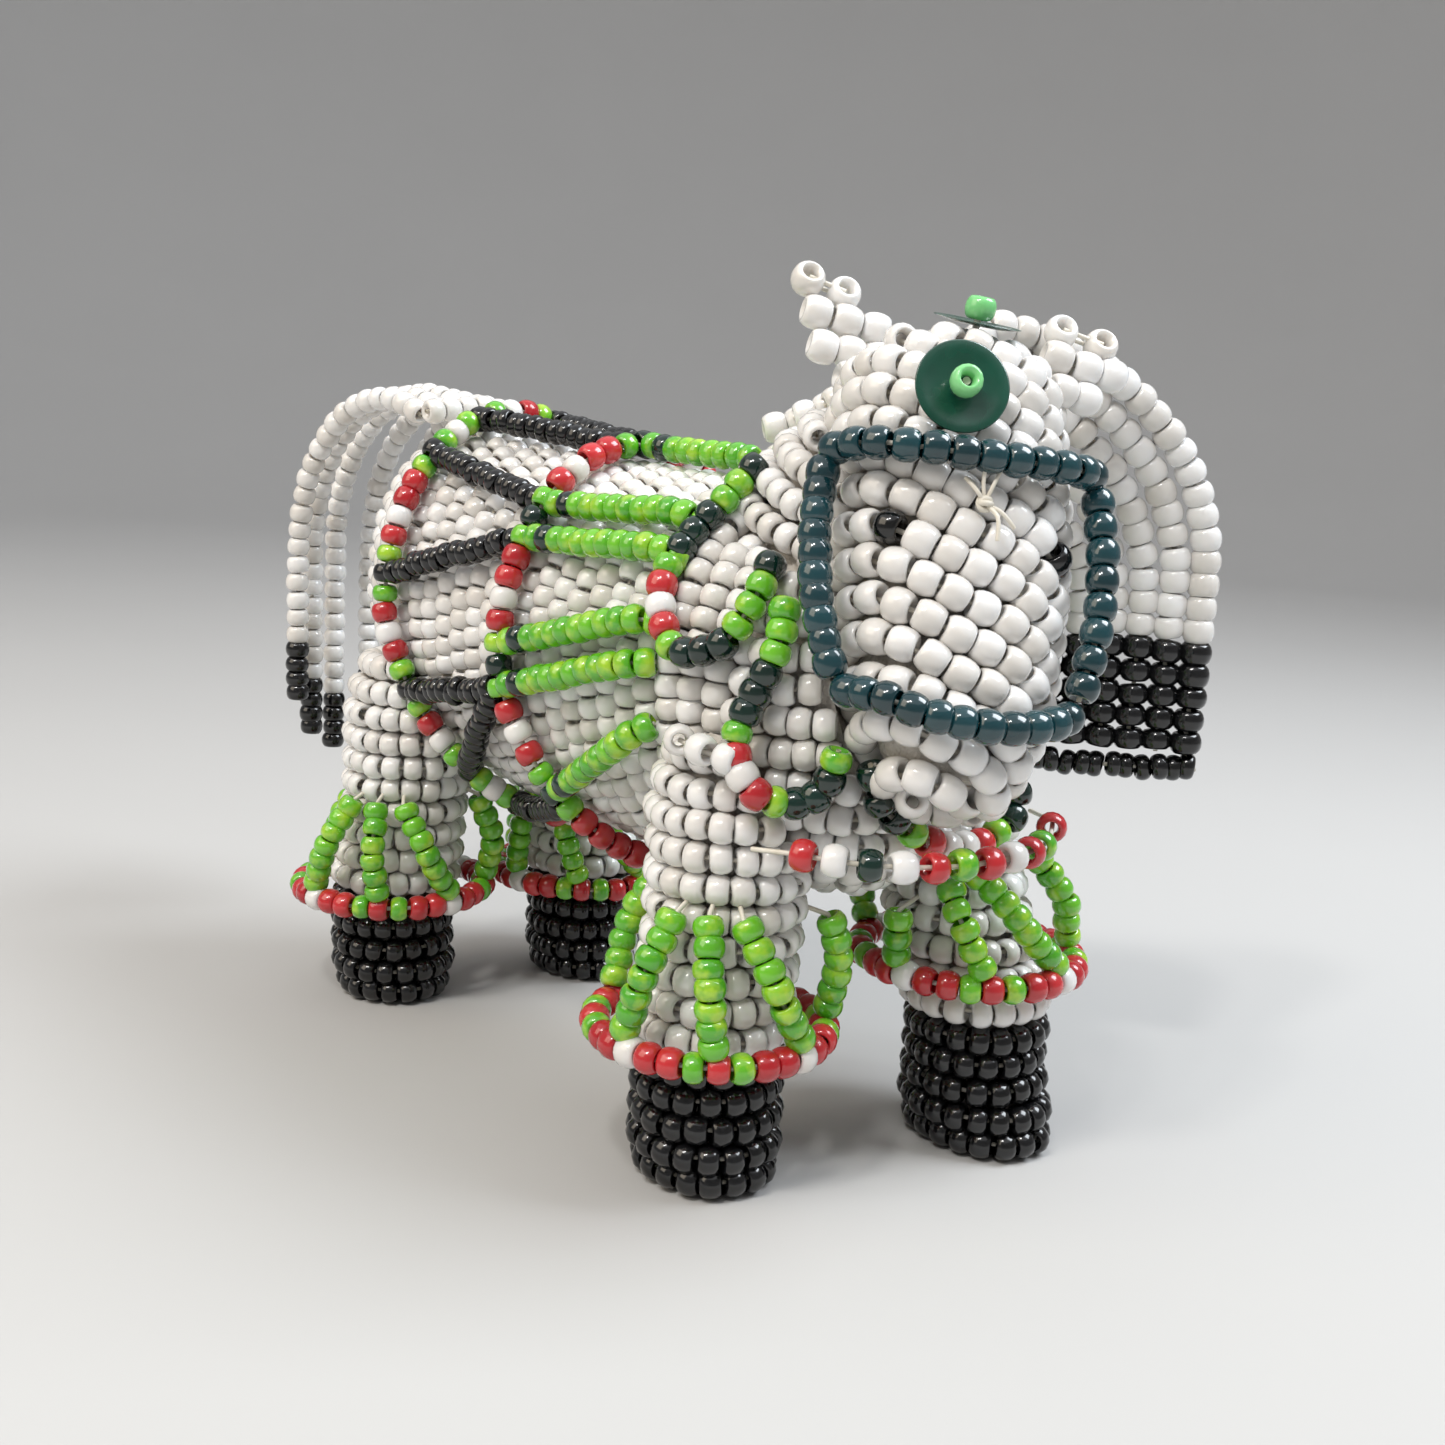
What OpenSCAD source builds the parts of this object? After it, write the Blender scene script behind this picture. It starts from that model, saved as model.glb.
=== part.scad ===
// Bead-woven standing horse with bridle, collar, net, leg skirts, mane and tail.
// The horse faces -Y, its left side is +X, and its hooves stand on z = 0.
// Woven parts are closed skins over stuffing; strings of beads are tubes one bead thick.

/* [Beads] */
// Outer diameter of one seed bead
bead_d = 2.2; // [1.9:0.1:2.3]
// Thickness of a woven skin
weave_t = 2; // [1.6:0.1:2.2]
// Diameter of a sequin
sequin_d = 6; // [5:0.5:6.5]

/* [Body] */
// Centre height of the trunk at the shoulders
trunk_z = 33.6; // [33:0.1:34]
// Half width of the trunk at the shoulders
trunk_half_w = 12.4; // [12:0.1:12.8]
// Half height of the trunk at the shoulders
trunk_half_h = 14.8; // [14.4:0.1:15]
// Angle that the head is turned to the horse's right
head_turn = 28; // [22:1:32]
// Forward lean of the head's long axis
head_lean = 24; // [20:1:26]
// Tilt of the head towards its left shoulder
head_tilt = 5.5; // [3:0.5:7]

/* [Legs] */
// Outer radius of a woven leg
leg_r = 5.8; // [5.4:0.1:6]
// Height of a hoof
hoof_h = 10; // [9.5:0.5:10.5]
// Radius to the middle of a skirt's bead ring
skirt_r = 8; // [7.9:0.1:8.2]

/* [Hidden] */

white = [0.93, 0.93, 0.91];
green = [0.3, 0.78, 0.12];
dark_green = [0.03, 0.2, 0.17];
red = [0.78, 0.13, 0.15];
black = [0.03, 0.03, 0.03];
fibre = [0.9, 0.88, 0.82];

bead_r = bead_d / 2;
skin_sides = 24;
string_sides = 6;
// The frame's origin is under the middle of the whole object's box
origin_shift = [-4.73, -3.23, 0];

// ---- Small helpers ----
function mix(a, b, t) = a + (b - a) * t;
function unit(v) = v / norm(v);
function power(x, e) = sign(x) * pow(abs(x), e);
function turned(v, a) = [v.x * cos(a) - v.y * sin(a), v.x * sin(a) + v.y * cos(a), v.z];

// Closed oval of points
function oval(centre, u, v) = [
    for (i = [0 : skin_sides - 1])
        let (a = 360 * i / skin_sides) centre + u * cos(a) + v * sin(a)
];

// Solid between a row of rings, closed at both ends
module solid_of_rings(rings) {
    sides = len(rings[0]);
    count = len(rings);
    polyhedron(
        points = [for (ring = rings) each ring],
        faces = [
            [for (i = [0 : sides - 1]) i],
            [for (i = [0 : sides - 1]) (count - 1) * sides + sides - 1 - i],
            for (k = [0 : count - 2], i = [0 : sides - 1])
                let (a = k * sides + i, b = k * sides + (i + 1) % sides)
                    each [[a, a + sides, b], [b, a + sides, b + sides]]
        ]
    );
}

// Stations of a table whose first column is the distance along, drawn in by an inset at both ends
function stations(table, inset) =
    let (first = table[0][0] + inset, last = table[len(table) - 1][0] - inset)
        [first, for (row = table) if (row[0] > first + 0.5 && row[0] < last - 0.5) row[0], last];
function value(table, at, column) = lookup(at, [for (row = table) [row[0], row[column]]]);

// Smooth curve through a few hand-set points
function spline_point(p, i, t) =
    let (last = len(p) - 1, a = p[max(i - 1, 0)], b = p[i], c = p[min(i + 1, last)], d = p[min(i + 2, last)])
        0.5 * (2 * b + (c - a) * t + (2 * a - 5 * b + 4 * c - d) * t * t
            + (3 * b - a - 3 * c + d) * t * t * t);
function spline(p, steps = 4) = [
    for (i = [0 : len(p) - 2], k = [0 : steps - 1]) spline_point(p, i, k / steps), p[len(p) - 1]
];

// A string of beads as a plain tube along a path
function tangent(path, i) = unit(path[min(i + 1, len(path) - 1)] - path[max(i - 1, 0)]);
function carried(path, i, side) =
    let (t = tangent(path, i)) unit(side - t * (side * t));
function frames(path, i = 0, side = [0.3, 0.5, 0.8], out = []) =
    i == len(path) ? out
    : let (u = carried(path, i, side)) frames(path, i + 1, u, concat(out, [u]));
module string(path, r = bead_r) {
    sides_u = frames(path);
    solid_of_rings([
        for (i = [0 : len(path) - 1])
            let (u = sides_u[i], v = cross(tangent(path, i), u))
                [for (k = [0 : string_sides - 1])
                    path[i] + r * (u * cos(360 * k / string_sides) + v * sin(360 * k / string_sides))]
    ]);
}

// ---- Trunk ----
// Along the trunk: y, rise of the centre, share of the half width, share of the half height
trunk_table = [
    [-30.4, -1.6, 0.42, 0.42], [-28.6, -1.2, 0.7, 0.71], [-24.6, -0.5, 0.92, 0.91], [-16, 0, 1, 1],
    [-6, 0.2, 1, 1], [4, 0.6, 0.98, 1.01], [14, 1.8, 0.97, 1.03], [22, 3.2, 0.93, 1.01],
    [27, 4.2, 0.77, 0.84], [30.5, 4.7, 0.44, 0.48]
];
// Point on the trunk at station y and angle a, counted from the left side over the back
function trunk_point(y, a, lift = 0) = [
    (trunk_half_w * value(trunk_table, y, 2) + lift) * cos(a),
    y,
    trunk_z + value(trunk_table, y, 1) + (trunk_half_h * value(trunk_table, y, 3) + lift) * sin(a)
];
module trunk_solid(inset = 0) {
    solid_of_rings([
        for (y = stations(trunk_table, inset))
            [for (i = [0 : skin_sides - 1]) trunk_point(y, -360 * i / skin_sides, -inset)]
    ]);
}

// ---- Neck ----
neck_base = [0, -16, 34];
neck_top = [1.8, -23, 52];
neck_axis = unit(neck_top - neck_base);
neck_side = [1, 0, 0];
neck_back = cross(neck_axis, neck_side);
// Up the neck: distance from the base, half width, half depth
neck_table = [
    [0, 9.8, 12.4], [5, 9.2, 11.2], [10, 8.5, 10], [15, 7.7, 8.4], [18, 6.4, 6.4], [20, 4.2, 4.2]
];
module neck_solid(inset = 0) {
    solid_of_rings([
        for (s = stations(neck_table, inset))
            oval(neck_base + neck_axis * s, neck_side * (value(neck_table, s, 1) - inset),
                neck_back * (value(neck_table, s, 2) - inset))
    ]);
}

// ---- Head ----
poll = [3.8, -25, 57.5];
face_out = turned([0, -1, 0], -head_turn);
level_side = turned([1, 0, 0], -head_turn);
head_down = unit(face_out * tan(head_lean) - level_side * tan(head_tilt) - [0, 0, 1]);
face_side = unit(level_side - head_down * (level_side * head_down));
face_normal = cross(head_down, face_side);
// Down the head: distance from the poll, half width, half depth
head_table = [
    [0, 4.5, 3.5], [1.6, 6.9, 5.5], [4.4, 7.9, 6.8], [9, 8.2, 7.2], [15, 8.1, 7.1],
    [20.5, 7.7, 6.6], [24.5, 7.1, 6], [28, 6.1, 5.3], [30.4, 4.7, 4.2], [32.2, 3, 2.6]
];
// Point on the head at distance s from the poll; angle 0 is its left, -90 its face
function head_point(s, a, lift = 0) =
    poll + head_down * s
    + face_side * (value(head_table, s, 1) + lift) * power(cos(a), 0.8)
    - face_normal * (value(head_table, s, 2) + lift) * power(sin(a), 0.8);
module head_solid(inset = 0) {
    solid_of_rings([
        for (s = stations(head_table, inset))
            [for (i = [0 : skin_sides - 1]) head_point(s, -360 * i / skin_sides, -inset)]
    ]);
}

// The soft breast is dented where the muzzle lies against it
module trunk_weave() {
    color(white) difference() {
        trunk_solid();
        trunk_solid(weave_t);
        head_solid();
    }
}
module trunk_stuffing() {
    color(fibre) difference() {
        trunk_solid(weave_t);
        head_solid();
    }
}
module neck_weave() {
    color(white) difference() {
        neck_solid();
        neck_solid(weave_t);
        trunk_solid();
        head_solid();
    }
}
module neck_stuffing() {
    color(fibre) difference() {
        neck_solid(weave_t);
        trunk_solid();
        head_solid();
    }
}
module head_weave() {
    color(white) difference() {
        head_solid();
        head_solid(weave_t);
    }
}
module head_stuffing() {
    color(fibre) head_solid(weave_t);
}

// ---- Legs ----
// Leg: centre inside the trunk, centre at the hoof's top, height of the skirt's ring, skirt's length
leg_top_z = 32;
front_right = [[-8.4, -20.5], [-10, -20.3], 11, 9.5];
front_left = [[8.4, -21.5], [10.8, -27.8], 14, 8];
rear_right = [[-7.6, 20.5], [-8.8, 23], 10, 9];
rear_left = [[7.6, 19.5], [9.2, 18], 10, 9];
function leg_centre(leg, z) =
    let (t = (z - hoof_h) / (leg_top_z - hoof_h), p = mix(leg[1], leg[0], max(t, 0))) [p.x, p.y, z];
// A leg swells a little into the thigh and narrows inside the trunk
thigh = 0.7;
module leg_solid(leg, low, r) {
    solid_of_rings([
        for (row = [[low, 0], [20, 0], [27, thigh], [leg_top_z, -0.6]])
            let (ring_r = r + row[1]) oval(leg_centre(leg, row[0]), [ring_r, 0, 0], [0, ring_r, 0])
    ]);
}
module leg_weave(leg) {
    color(white) difference() {
        leg_solid(leg, hoof_h, leg_r);
        leg_solid(leg, weave_t, leg_r - weave_t);
        trunk_solid();
    }
}
module leg_stuffing(leg) {
    color(fibre) difference() {
        leg_solid(leg, weave_t, leg_r - weave_t);
        trunk_solid();
    }
}
// A hoof is a woven cup a little longer than wide, flat underneath
module hoof(leg, toe) {
    foot = leg_centre(leg, 0);
    color(black) difference() {
        solid_of_rings([
            oval(foot + [0, -toe, 0], [5, 0, 0], [0, 5.4 + toe, 0]),
            oval(foot + [0, -toe / 2, 1.2], [5.4, 0, 0], [0, 5.8 + toe / 2, 0]),
            oval(foot + [0, 0, hoof_h * 0.6], [5.4, 0, 0], [0, 5.5, 0]),
            oval(foot + [0, 0, hoof_h], [5.5, 0, 0], [0, 5.5, 0])
        ]);
        leg_solid(leg, weave_t, leg_r - weave_t);
    }
}

module front_right_leg() { leg_weave(front_right); }
module front_left_leg() { leg_weave(front_left); }
module rear_right_leg() { leg_weave(rear_right); }
module rear_left_leg() { leg_weave(rear_left); }
module front_right_hoof() { hoof(front_right, 0.2); }
module front_left_hoof() { hoof(front_left, 0.9); }
module rear_right_hoof() { hoof(rear_right, 0.2); }
module rear_left_hoof() { hoof(rear_left, 0.2); }
module front_right_stuffing() { leg_stuffing(front_right); }
module front_left_stuffing() { leg_stuffing(front_left); }
module rear_right_stuffing() { leg_stuffing(rear_right); }
module rear_left_stuffing() { leg_stuffing(rear_left); }

// ---- Leg skirts ----
// Angles round the leg at which each skirt strand leaves the leg and meets the ring
skirt_tops = [198, 217, 236, 305, 380, 450];
skirt_feet = [180, 229, 276, 322, 385, 470];
skirt_top_r = leg_r + bead_r + 0.45;
// The strands under the trunk stop this far below it
skirt_top_gap = 1;
// Point of strand k, a share t of the way from its top to its foot, at a height above the ring
function skirt_point(leg, k, t, height, radius) =
    let (a = mix(skirt_tops[k], skirt_feet[k], t))
    leg_centre(leg, leg[2] + height) + [cos(a), sin(a), 0] * radius;
module skirt_strands(leg) {
    skirt_h = leg[3];
    color(green) difference() {
        for (k = [0 : len(skirt_tops) - 1])
            string([
                skirt_point(leg, k, 0, skirt_h, skirt_top_r),
                skirt_point(leg, k, 0.4, skirt_h * 0.6, skirt_top_r + 0.9),
                skirt_point(leg, k, 0.7, skirt_h * 0.3, skirt_r + 0.2),
                skirt_point(leg, k, 1, bead_r * 0.8, skirt_r)
            ]);
        trunk_solid(-skirt_top_gap);
    }
}
module skirt_ring(leg) {
    color(red) translate(leg_centre(leg, leg[2])) rotate_extrude($fn = 48)
        translate([skirt_r, 0]) circle(r = bead_r, $fn = 24);
}
module front_right_skirt() { skirt_strands(front_right); }
module front_left_skirt() { skirt_strands(front_left); }
module rear_right_skirt() { skirt_strands(rear_right); }
module rear_left_skirt() { skirt_strands(rear_left); }
module front_right_skirt_ring() { skirt_ring(front_right); }
module front_left_skirt_ring() { skirt_ring(front_left); }
module rear_right_skirt_ring() { skirt_ring(rear_right); }
module rear_left_skirt_ring() { skirt_ring(rear_left); }

// ---- Ears, eyes and bridle ----
// An ear is a small flat loop of beads from a base inside the head to a tip
module ear(base, tip, base_half_w, tip_half_w) {
    out = unit(tip - base);
    wide = unit(cross(face_normal, out));
    color(white) solid_of_rings([
        for (t = [0, 0.4, 0.75, 1])
            oval(mix(base, tip, t), wide * mix(base_half_w, tip_half_w, t), cross(out, wide) * bead_r)
    ]);
}
module ear_right() { ear([-0.4, -21.3, 55.5], [-2.8, -17.6, 62.2], 3.2, 1.4); }
module ear_left() { ear([9.2, -28.4, 54.6], [12.6, -30.8, 60], 2.6, 2.4); }
eye_s = 15.9;
module eye(side) {
    color(black) translate(head_point(eye_s, -98 + side * 46, -0.4)) sphere(r = 1.2, $fn = 24);
}
module eye_right() { eye(-1); }
module eye_left() { eye(1); }

bridle_lift = bead_r + 0.15;
// Both bands sag at the middle of the face
function brow_s(a) = 9.6 + 1.7 * pow(sin(a), 2);
function nose_s(a) = 25 + 2.8 * pow(sin(a), 2);
brow_angles = [-166, -140, -118, -90, -65, -48, -34];
nose_angles = [-168, -140, -114, -92, -74, -57, -40];
function browband_path() = spline([for (a = brow_angles) head_point(brow_s(a), a, bridle_lift)], 3);
function noseband_path() = spline([for (a = nose_angles) head_point(nose_s(a), a, bridle_lift)], 3);
// Each cheek strap runs from an end of the browband to an end of the noseband; the left one bows out
function cheek_path(brow_a, nose_a, bow) = spline([
    for (t = [0.06, 0.3, 0.5, 0.7, 0.94])
        head_point(mix(brow_s(brow_a), nose_s(nose_a), t), mix(brow_a, nose_a, t), bridle_lift + bow * sin(180 * t))
], 3);
module browband() { color(dark_green) string(browband_path()); }
module noseband() { color(dark_green) string(noseband_path()); }
module cheek_strap_right() { color(dark_green) string(cheek_path(-166, -168, 0.9)); }
module cheek_strap_left() { color(dark_green) string(cheek_path(-34, -40, 0.6)); }

// ---- Sequins: each turns on a thread held by a stop bead ----
sequin_t = 0.3;
thread_r = 0.25;
thread_gap = 0.06;
function forehead_seat() = head_point(6.7, -101, 0.2);
forehead_dir = unit(face_normal + [-0.15, 0.05, -0.1]);
crown_seat = poll + face_side * 1.2 + face_out * 2 + [0, 0, 0.9];
crown_dir = unit([0, -0.2, 1]);
module along(seat, dir) {
    translate(seat) rotate([0, acos(dir.z), atan2(dir.y, dir.x)]) children();
}
module sequin_thread(seat, dir) {
    color(white) along(seat, dir) translate([0, 0, -2.4]) cylinder(r = thread_r, h = 4.6, $fn = 24);
}
module sequin(seat, dir) {
    color(dark_green) along(seat, dir) translate([0, 0, 1]) difference() {
        cylinder(d = sequin_d, h = sequin_t, $fn = 48);
        translate([0, 0, -1]) cylinder(r = thread_r + thread_gap, h = sequin_t + 2, $fn = 24);
    }
}
module stop_bead(seat, dir) {
    color(green) along(seat, dir) translate([0, 0, 1.4]) difference() {
        cylinder(d = bead_d, h = 1.5, $fn = 32);
        translate([0, 0, -1]) cylinder(r = thread_r, h = 4, $fn = 24);
    }
}
module forehead_thread() { sequin_thread(forehead_seat(), forehead_dir); }
module forehead_sequin() { sequin(forehead_seat(), forehead_dir); }
module forehead_stop_bead() { stop_bead(forehead_seat(), forehead_dir); }
module crown_thread() { sequin_thread(crown_seat, crown_dir); }
module crown_sequin() { sequin(crown_seat, crown_dir); }
module crown_stop_bead() { stop_bead(crown_seat, crown_dir); }

// ---- Mane: strands rise from the crest, arch to the left and hang ----
mane_count = 7;
mane_crest = [[8.6, -22.4, 60.2], [3.2, -9.4, 53]];
mane_tips = [[27, -33.5, 29], [19.2, -23, 29]];
mane_arch_h = 17;
function mane_path(k) =
    let (t = k / (mane_count - 1), root = mix(mane_crest[0], mane_crest[1], t),
        tip = mix(mane_tips[0], mane_tips[1], t), reach = [tip.x - root.x, tip.y - root.y, 0],
        arch = min(mane_arch_h, root.z - tip.z - 6))
        concat(
            [root + mane_riser(t)],
            [for (u = [8 : 10.25 : 90]) root + reach * sin(u) - [0, 0, arch * (1 - cos(u))]],
            [for (z = [root.z - arch - 3 : -3 : tip.z + 1]) [tip.x, tip.y, z]],
            [tip]
        );
// A strand first climbs from the sewn row; the front strands climb more
function mane_riser(t) = [-0.4, 0.2, -mix(2.4, 1.2, t)];
mane_row_gap = 2.5;
module mane_strand(k) { color(white) string(mane_path(k)); }
module mane_strand_1() { mane_strand(0); }
module mane_strand_2() { mane_strand(1); }
module mane_strand_3() { mane_strand(2); }
module mane_strand_4() { mane_strand(3); }
module mane_strand_5() { mane_strand(4); }
module mane_strand_6() { mane_strand(5); }
module mane_strand_7() { mane_strand(6); }
module mane_root() {
    color(white) string([
        for (t = [-0.08, 0.25, 0.5, 0.75, 1.08])
            mix(mane_crest[0], mane_crest[1], t) + mane_riser(t) - [0, 0, mane_row_gap]
    ]);
}
module mane_tip_row() {
    along_row = unit(mane_tips[1] - mane_tips[0]);
    color(black) string([
        mane_tips[0] - along_row - [0, 0, bead_r + 0.1], mix(mane_tips[0], mane_tips[1], 0.5) - [0, 0, bead_r + 0.3],
        mane_tips[1] + along_row * 2 - [0, 0, bead_r + 0.1]
    ]);
}

// ---- Tail ----
tail_seat = [0, 26.4, 52.2];
tail_arch_h = 15;
tail_rise = -25;
// Each strand: where it is sewn on from side to side, how far it reaches, height of its white end
tail_plan = [[-4.8, [-7.4, 17.5], 29], [-2.4, [-4.8, 19.5], 25], [0, [-1.4, 21], 23],
    [2.4, [2, 20], 27], [4.8, [5.2, 18], 30]];
// The arch is part of an ellipse that climbs from the root, rolls over and drops
function tail_path(row) =
    let (root = tail_seat + [row[0], 0, -abs(row[0]) * 0.12], reach = [row[1].x - row[0], row[1].y, 0],
        low = root.z - tail_arch_h * cos(tail_rise))
        concat(
            [for (u = [tail_rise : 13 : 90])
                root + reach * (sin(u) - sin(tail_rise)) / (1 - sin(tail_rise))
                    + [0, 0, tail_arch_h * (cos(u) - cos(tail_rise))]],
            [for (z = [low - 3 : -3 : row[2] + 1]) [root.x + reach.x, root.y + reach.y, z]]
        );
module tail_root() {
    color(white) string([for (x = [-6, -3, 0, 3, 6]) tail_seat + [x, -2.5, 0.5 - abs(x) * 0.12]]);
}
module tail_strands() { color(white) for (row = tail_plan) string(tail_path(row)); }
module tail_tips() {
    color(black) for (row = tail_plan) {
        path = tail_path(row);
        end = path[len(path) - 1] - [0, 0, 0.02];
        string([end, end - [0, 0, 2.8], end - [0, 0, 5.6]]);
    }
}

// ---- Net over the trunk ----
net_lift = bead_r + 0.1;
// A girth leans forward under the belly
function girth_y(y, slope, a) = y - slope * pow(max(0, -sin(a)), 1.5);
function ring_path(y, slope) = [
    for (i = [0 : 40]) trunk_point(girth_y(y, slope, 9 * i), 9 * i, net_lift)
];
girth_at = 1.5;
girth_slope = 8;
rump_at = 18.5;
rump_slope = 10;
// Angles of the knots on the right side; the left side mirrors them
girth_knots = [90, 141, 183, 219];
rump_knots = [[108], [130, 172], [204, 230], [248]];
shoulder_at = -16;
spine_end = -12;
shoulder_ends = [[90], [130, 142], [160, 171], [187]];
function net_strand(y0, a0, y1, a1) = [
    for (t = [0.08 : 0.14 : 0.93]) trunk_point(mix(y0, y1, t), mix(a0, a1, t), net_lift)
];
module girth_ring() { color(red) string(ring_path(girth_at, girth_slope)); }
module rump_ring() { color(red) string(ring_path(rump_at, rump_slope)); }
// Two strands share a knot, one on each side of it
knot_half_deg = 6;
module rump_strands() {
    color(black) for (side = [0, 1]) mirror([side, 0, 0])
        for (k = [0 : 3], a = rump_knots[k])
            let (knot = girth_knots[k], start = knot + (a > knot ? knot_half_deg : -knot_half_deg))
                string(net_strand(girth_y(girth_at, girth_slope, knot), start,
                    girth_y(rump_at, rump_slope, a), a));
}
module shoulder_strands() {
    color(green) {
        string(net_strand(girth_at, 90, spine_end, 90));
        for (side = [0, 1]) mirror([side, 0, 0])
            for (k = [1 : 3], i = [0 : len(shoulder_ends[k]) - 1])
                let (knot = girth_knots[k], start = knot + (i - (len(shoulder_ends[k]) - 1) / 2) * 2 * knot_half_deg)
                    string(net_strand(girth_y(girth_at, girth_slope, knot), start,
                        shoulder_at, shoulder_ends[k][i]));
    }
}

// ---- Collar ----
// Loops that hang from the neck like petals, set by hand on the right side
petal_routes = [
    [[-4.6, -16.6, 49.6], [-7.2, -15.6, 46.6], [-10.9, -14.7, 42.3], [-12.4, -15.8, 39], [-12.8, -18, 36.9],
        [-12.2, -21.4, 37.7], [-10.9, -22.9, 40.6], [-9, -22.7, 43.6]],
    [[-10.2, -25.3, 41], [-11.3, -25.8, 38], [-12.4, -24.9, 34.6], [-13.5, -24.7, 31.6], [-13.1, -26.3, 28.9],
        [-10.6, -27.6, 28.3], [-9.4, -29, 29.4], [-9.3, -29.8, 32]]
];
// Under the mane the left loop starts lower
left_petal_start = 2;
module collar_petals() {
    color(dark_green) {
        for (route = petal_routes) string(spline(route, 3));
        mirror([1, 0, 0]) {
            string(spline([for (i = [left_petal_start : len(petal_routes[0]) - 1]) petal_routes[0][i]], 3));
            string(spline(petal_routes[1], 3));
        }
    }
}
// One more loop hangs at the middle of the breast, behind the chin
fringe_route = [
    [-7.6, -31, 31.2], [-7, -31.1, 29.6], [-6.3, -31.3, 28.2], [-4.2, -31.6, 26.7], [-1, -32, 25.2],
    [3.8, -32, 24.7], [7, -32, 26.2], [7.4, -31.8, 28.2], [6.6, -31.6, 30.4]
];
row_route = [[-12.6, -29, 25.6], [-9.5, -33.4, 25.4], [-4.5, -36, 25.2], [0.5, -37, 25.4], [5.4, -36, 25.4],
    [9, -34, 26]];
module breast_fringe() {
    color(dark_green) string(spline(fringe_route, 2));
}
module breast_row() { color(red) string(spline(row_route, 4)); }

module placed() {
    translate(origin_shift) children();
}

placed() trunk_weave();
placed() trunk_stuffing();
placed() neck_weave();
placed() neck_stuffing();
placed() head_weave();
placed() head_stuffing();
placed() front_right_leg();
placed() front_left_leg();
placed() rear_right_leg();
placed() rear_left_leg();
placed() front_right_hoof();
placed() front_left_hoof();
placed() rear_right_hoof();
placed() rear_left_hoof();
placed() front_right_stuffing();
placed() front_left_stuffing();
placed() rear_right_stuffing();
placed() rear_left_stuffing();
placed() ear_right();
placed() ear_left();
placed() eye_right();
placed() eye_left();
placed() browband();
placed() cheek_strap_right();
placed() cheek_strap_left();
placed() noseband();
placed() forehead_thread();
placed() forehead_sequin();
placed() forehead_stop_bead();
placed() crown_thread();
placed() crown_sequin();
placed() crown_stop_bead();
placed() mane_root();
placed() mane_strand_1();
placed() mane_strand_2();
placed() mane_strand_3();
placed() mane_strand_4();
placed() mane_strand_5();
placed() mane_strand_6();
placed() mane_strand_7();
placed() mane_tip_row();
placed() tail_root();
placed() tail_strands();
placed() tail_tips();
placed() collar_petals();
placed() breast_fringe();
placed() breast_row();
placed() girth_ring();
placed() rump_ring();
placed() shoulder_strands();
placed() rump_strands();
placed() front_right_skirt();
placed() front_left_skirt();
placed() rear_right_skirt();
placed() rear_left_skirt();
placed() front_right_skirt_ring();
placed() front_left_skirt_ring();
placed() rear_right_skirt_ring();
placed() rear_left_skirt_ring();
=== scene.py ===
"""Bead-woven horse: every seed bead is its own small ring of glass on a thread."""

import math

import bpy
import numpy as np
from mathutils import Matrix


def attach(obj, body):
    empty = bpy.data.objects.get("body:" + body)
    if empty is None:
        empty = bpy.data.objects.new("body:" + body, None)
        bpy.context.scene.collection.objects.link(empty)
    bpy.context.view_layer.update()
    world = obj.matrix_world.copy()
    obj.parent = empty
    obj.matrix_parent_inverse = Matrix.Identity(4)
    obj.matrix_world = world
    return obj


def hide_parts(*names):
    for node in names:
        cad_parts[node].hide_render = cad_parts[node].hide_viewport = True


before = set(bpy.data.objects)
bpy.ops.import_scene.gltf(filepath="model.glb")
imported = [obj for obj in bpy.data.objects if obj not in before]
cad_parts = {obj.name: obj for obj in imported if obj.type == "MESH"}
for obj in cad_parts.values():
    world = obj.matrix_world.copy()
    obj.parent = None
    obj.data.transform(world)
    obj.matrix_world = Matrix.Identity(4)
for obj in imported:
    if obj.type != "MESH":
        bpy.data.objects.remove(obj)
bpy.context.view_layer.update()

MM = 0.001
# Turns a point of the horse's right side into one of its left side
MIRROR = np.array([-1.0, 1, 1])
# The CAD design's own coordinates, in mm, become the row frame by adding this
ORIGIN_SHIFT = np.array([-4.73, -3.23, 0.0])
# Outer radius of a bead, and how deep the bead centres lie under a woven surface
BEAD_R = 1.1
WEAVE_DEPTH = BEAD_R
# Step between woven rows, and between beads in a row
ROW_STEP = 2.12
BEAD_STEP = 1.6


# ---- camera
CAMERA_POINT = np.array([-79.0, -91.3, 50.0])
CAMERA_YAW, CAMERA_PITCH, CAMERA_ROLL = 44.0, 10.2, 3.4
LENS_MM, SENSOR_MM = 37.3702, 36.0


def add_object(name, data):
    added = bpy.data.objects.new(name, data)
    bpy.context.scene.collection.objects.link(added)
    return added


def looking(ahead, right, up, point):
    """The matrix of a camera or lamp at a point of the row frame, in mm."""
    place = Matrix.Identity(4)
    for row in range(3):
        place[row][0], place[row][1], place[row][2] = right[row], up[row], -ahead[row]
        place[row][3] = point[row] * MM
    return place


def add_camera():
    yaw, pitch, roll = (math.radians(v) for v in (CAMERA_YAW, CAMERA_PITCH, CAMERA_ROLL))
    ahead = np.array([math.sin(yaw) * math.cos(pitch), math.cos(yaw) * math.cos(pitch), -math.sin(pitch)])
    level = np.array([math.cos(yaw), -math.sin(yaw), 0.0])
    above = np.cross(level, ahead)
    right = math.cos(roll) * level + math.sin(roll) * above
    up = -math.sin(roll) * level + math.cos(roll) * above
    data = bpy.data.cameras.new("camera")
    data.sensor_width, data.lens = SENSOR_MM, LENS_MM
    data.clip_start, data.clip_end = 0.002, 10.0
    camera = add_object("camera", data)
    camera.matrix_world = looking(ahead, right, up, CAMERA_POINT + ORIGIN_SHIFT)
    bpy.context.scene.camera = camera
    return ahead, right, up


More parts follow.
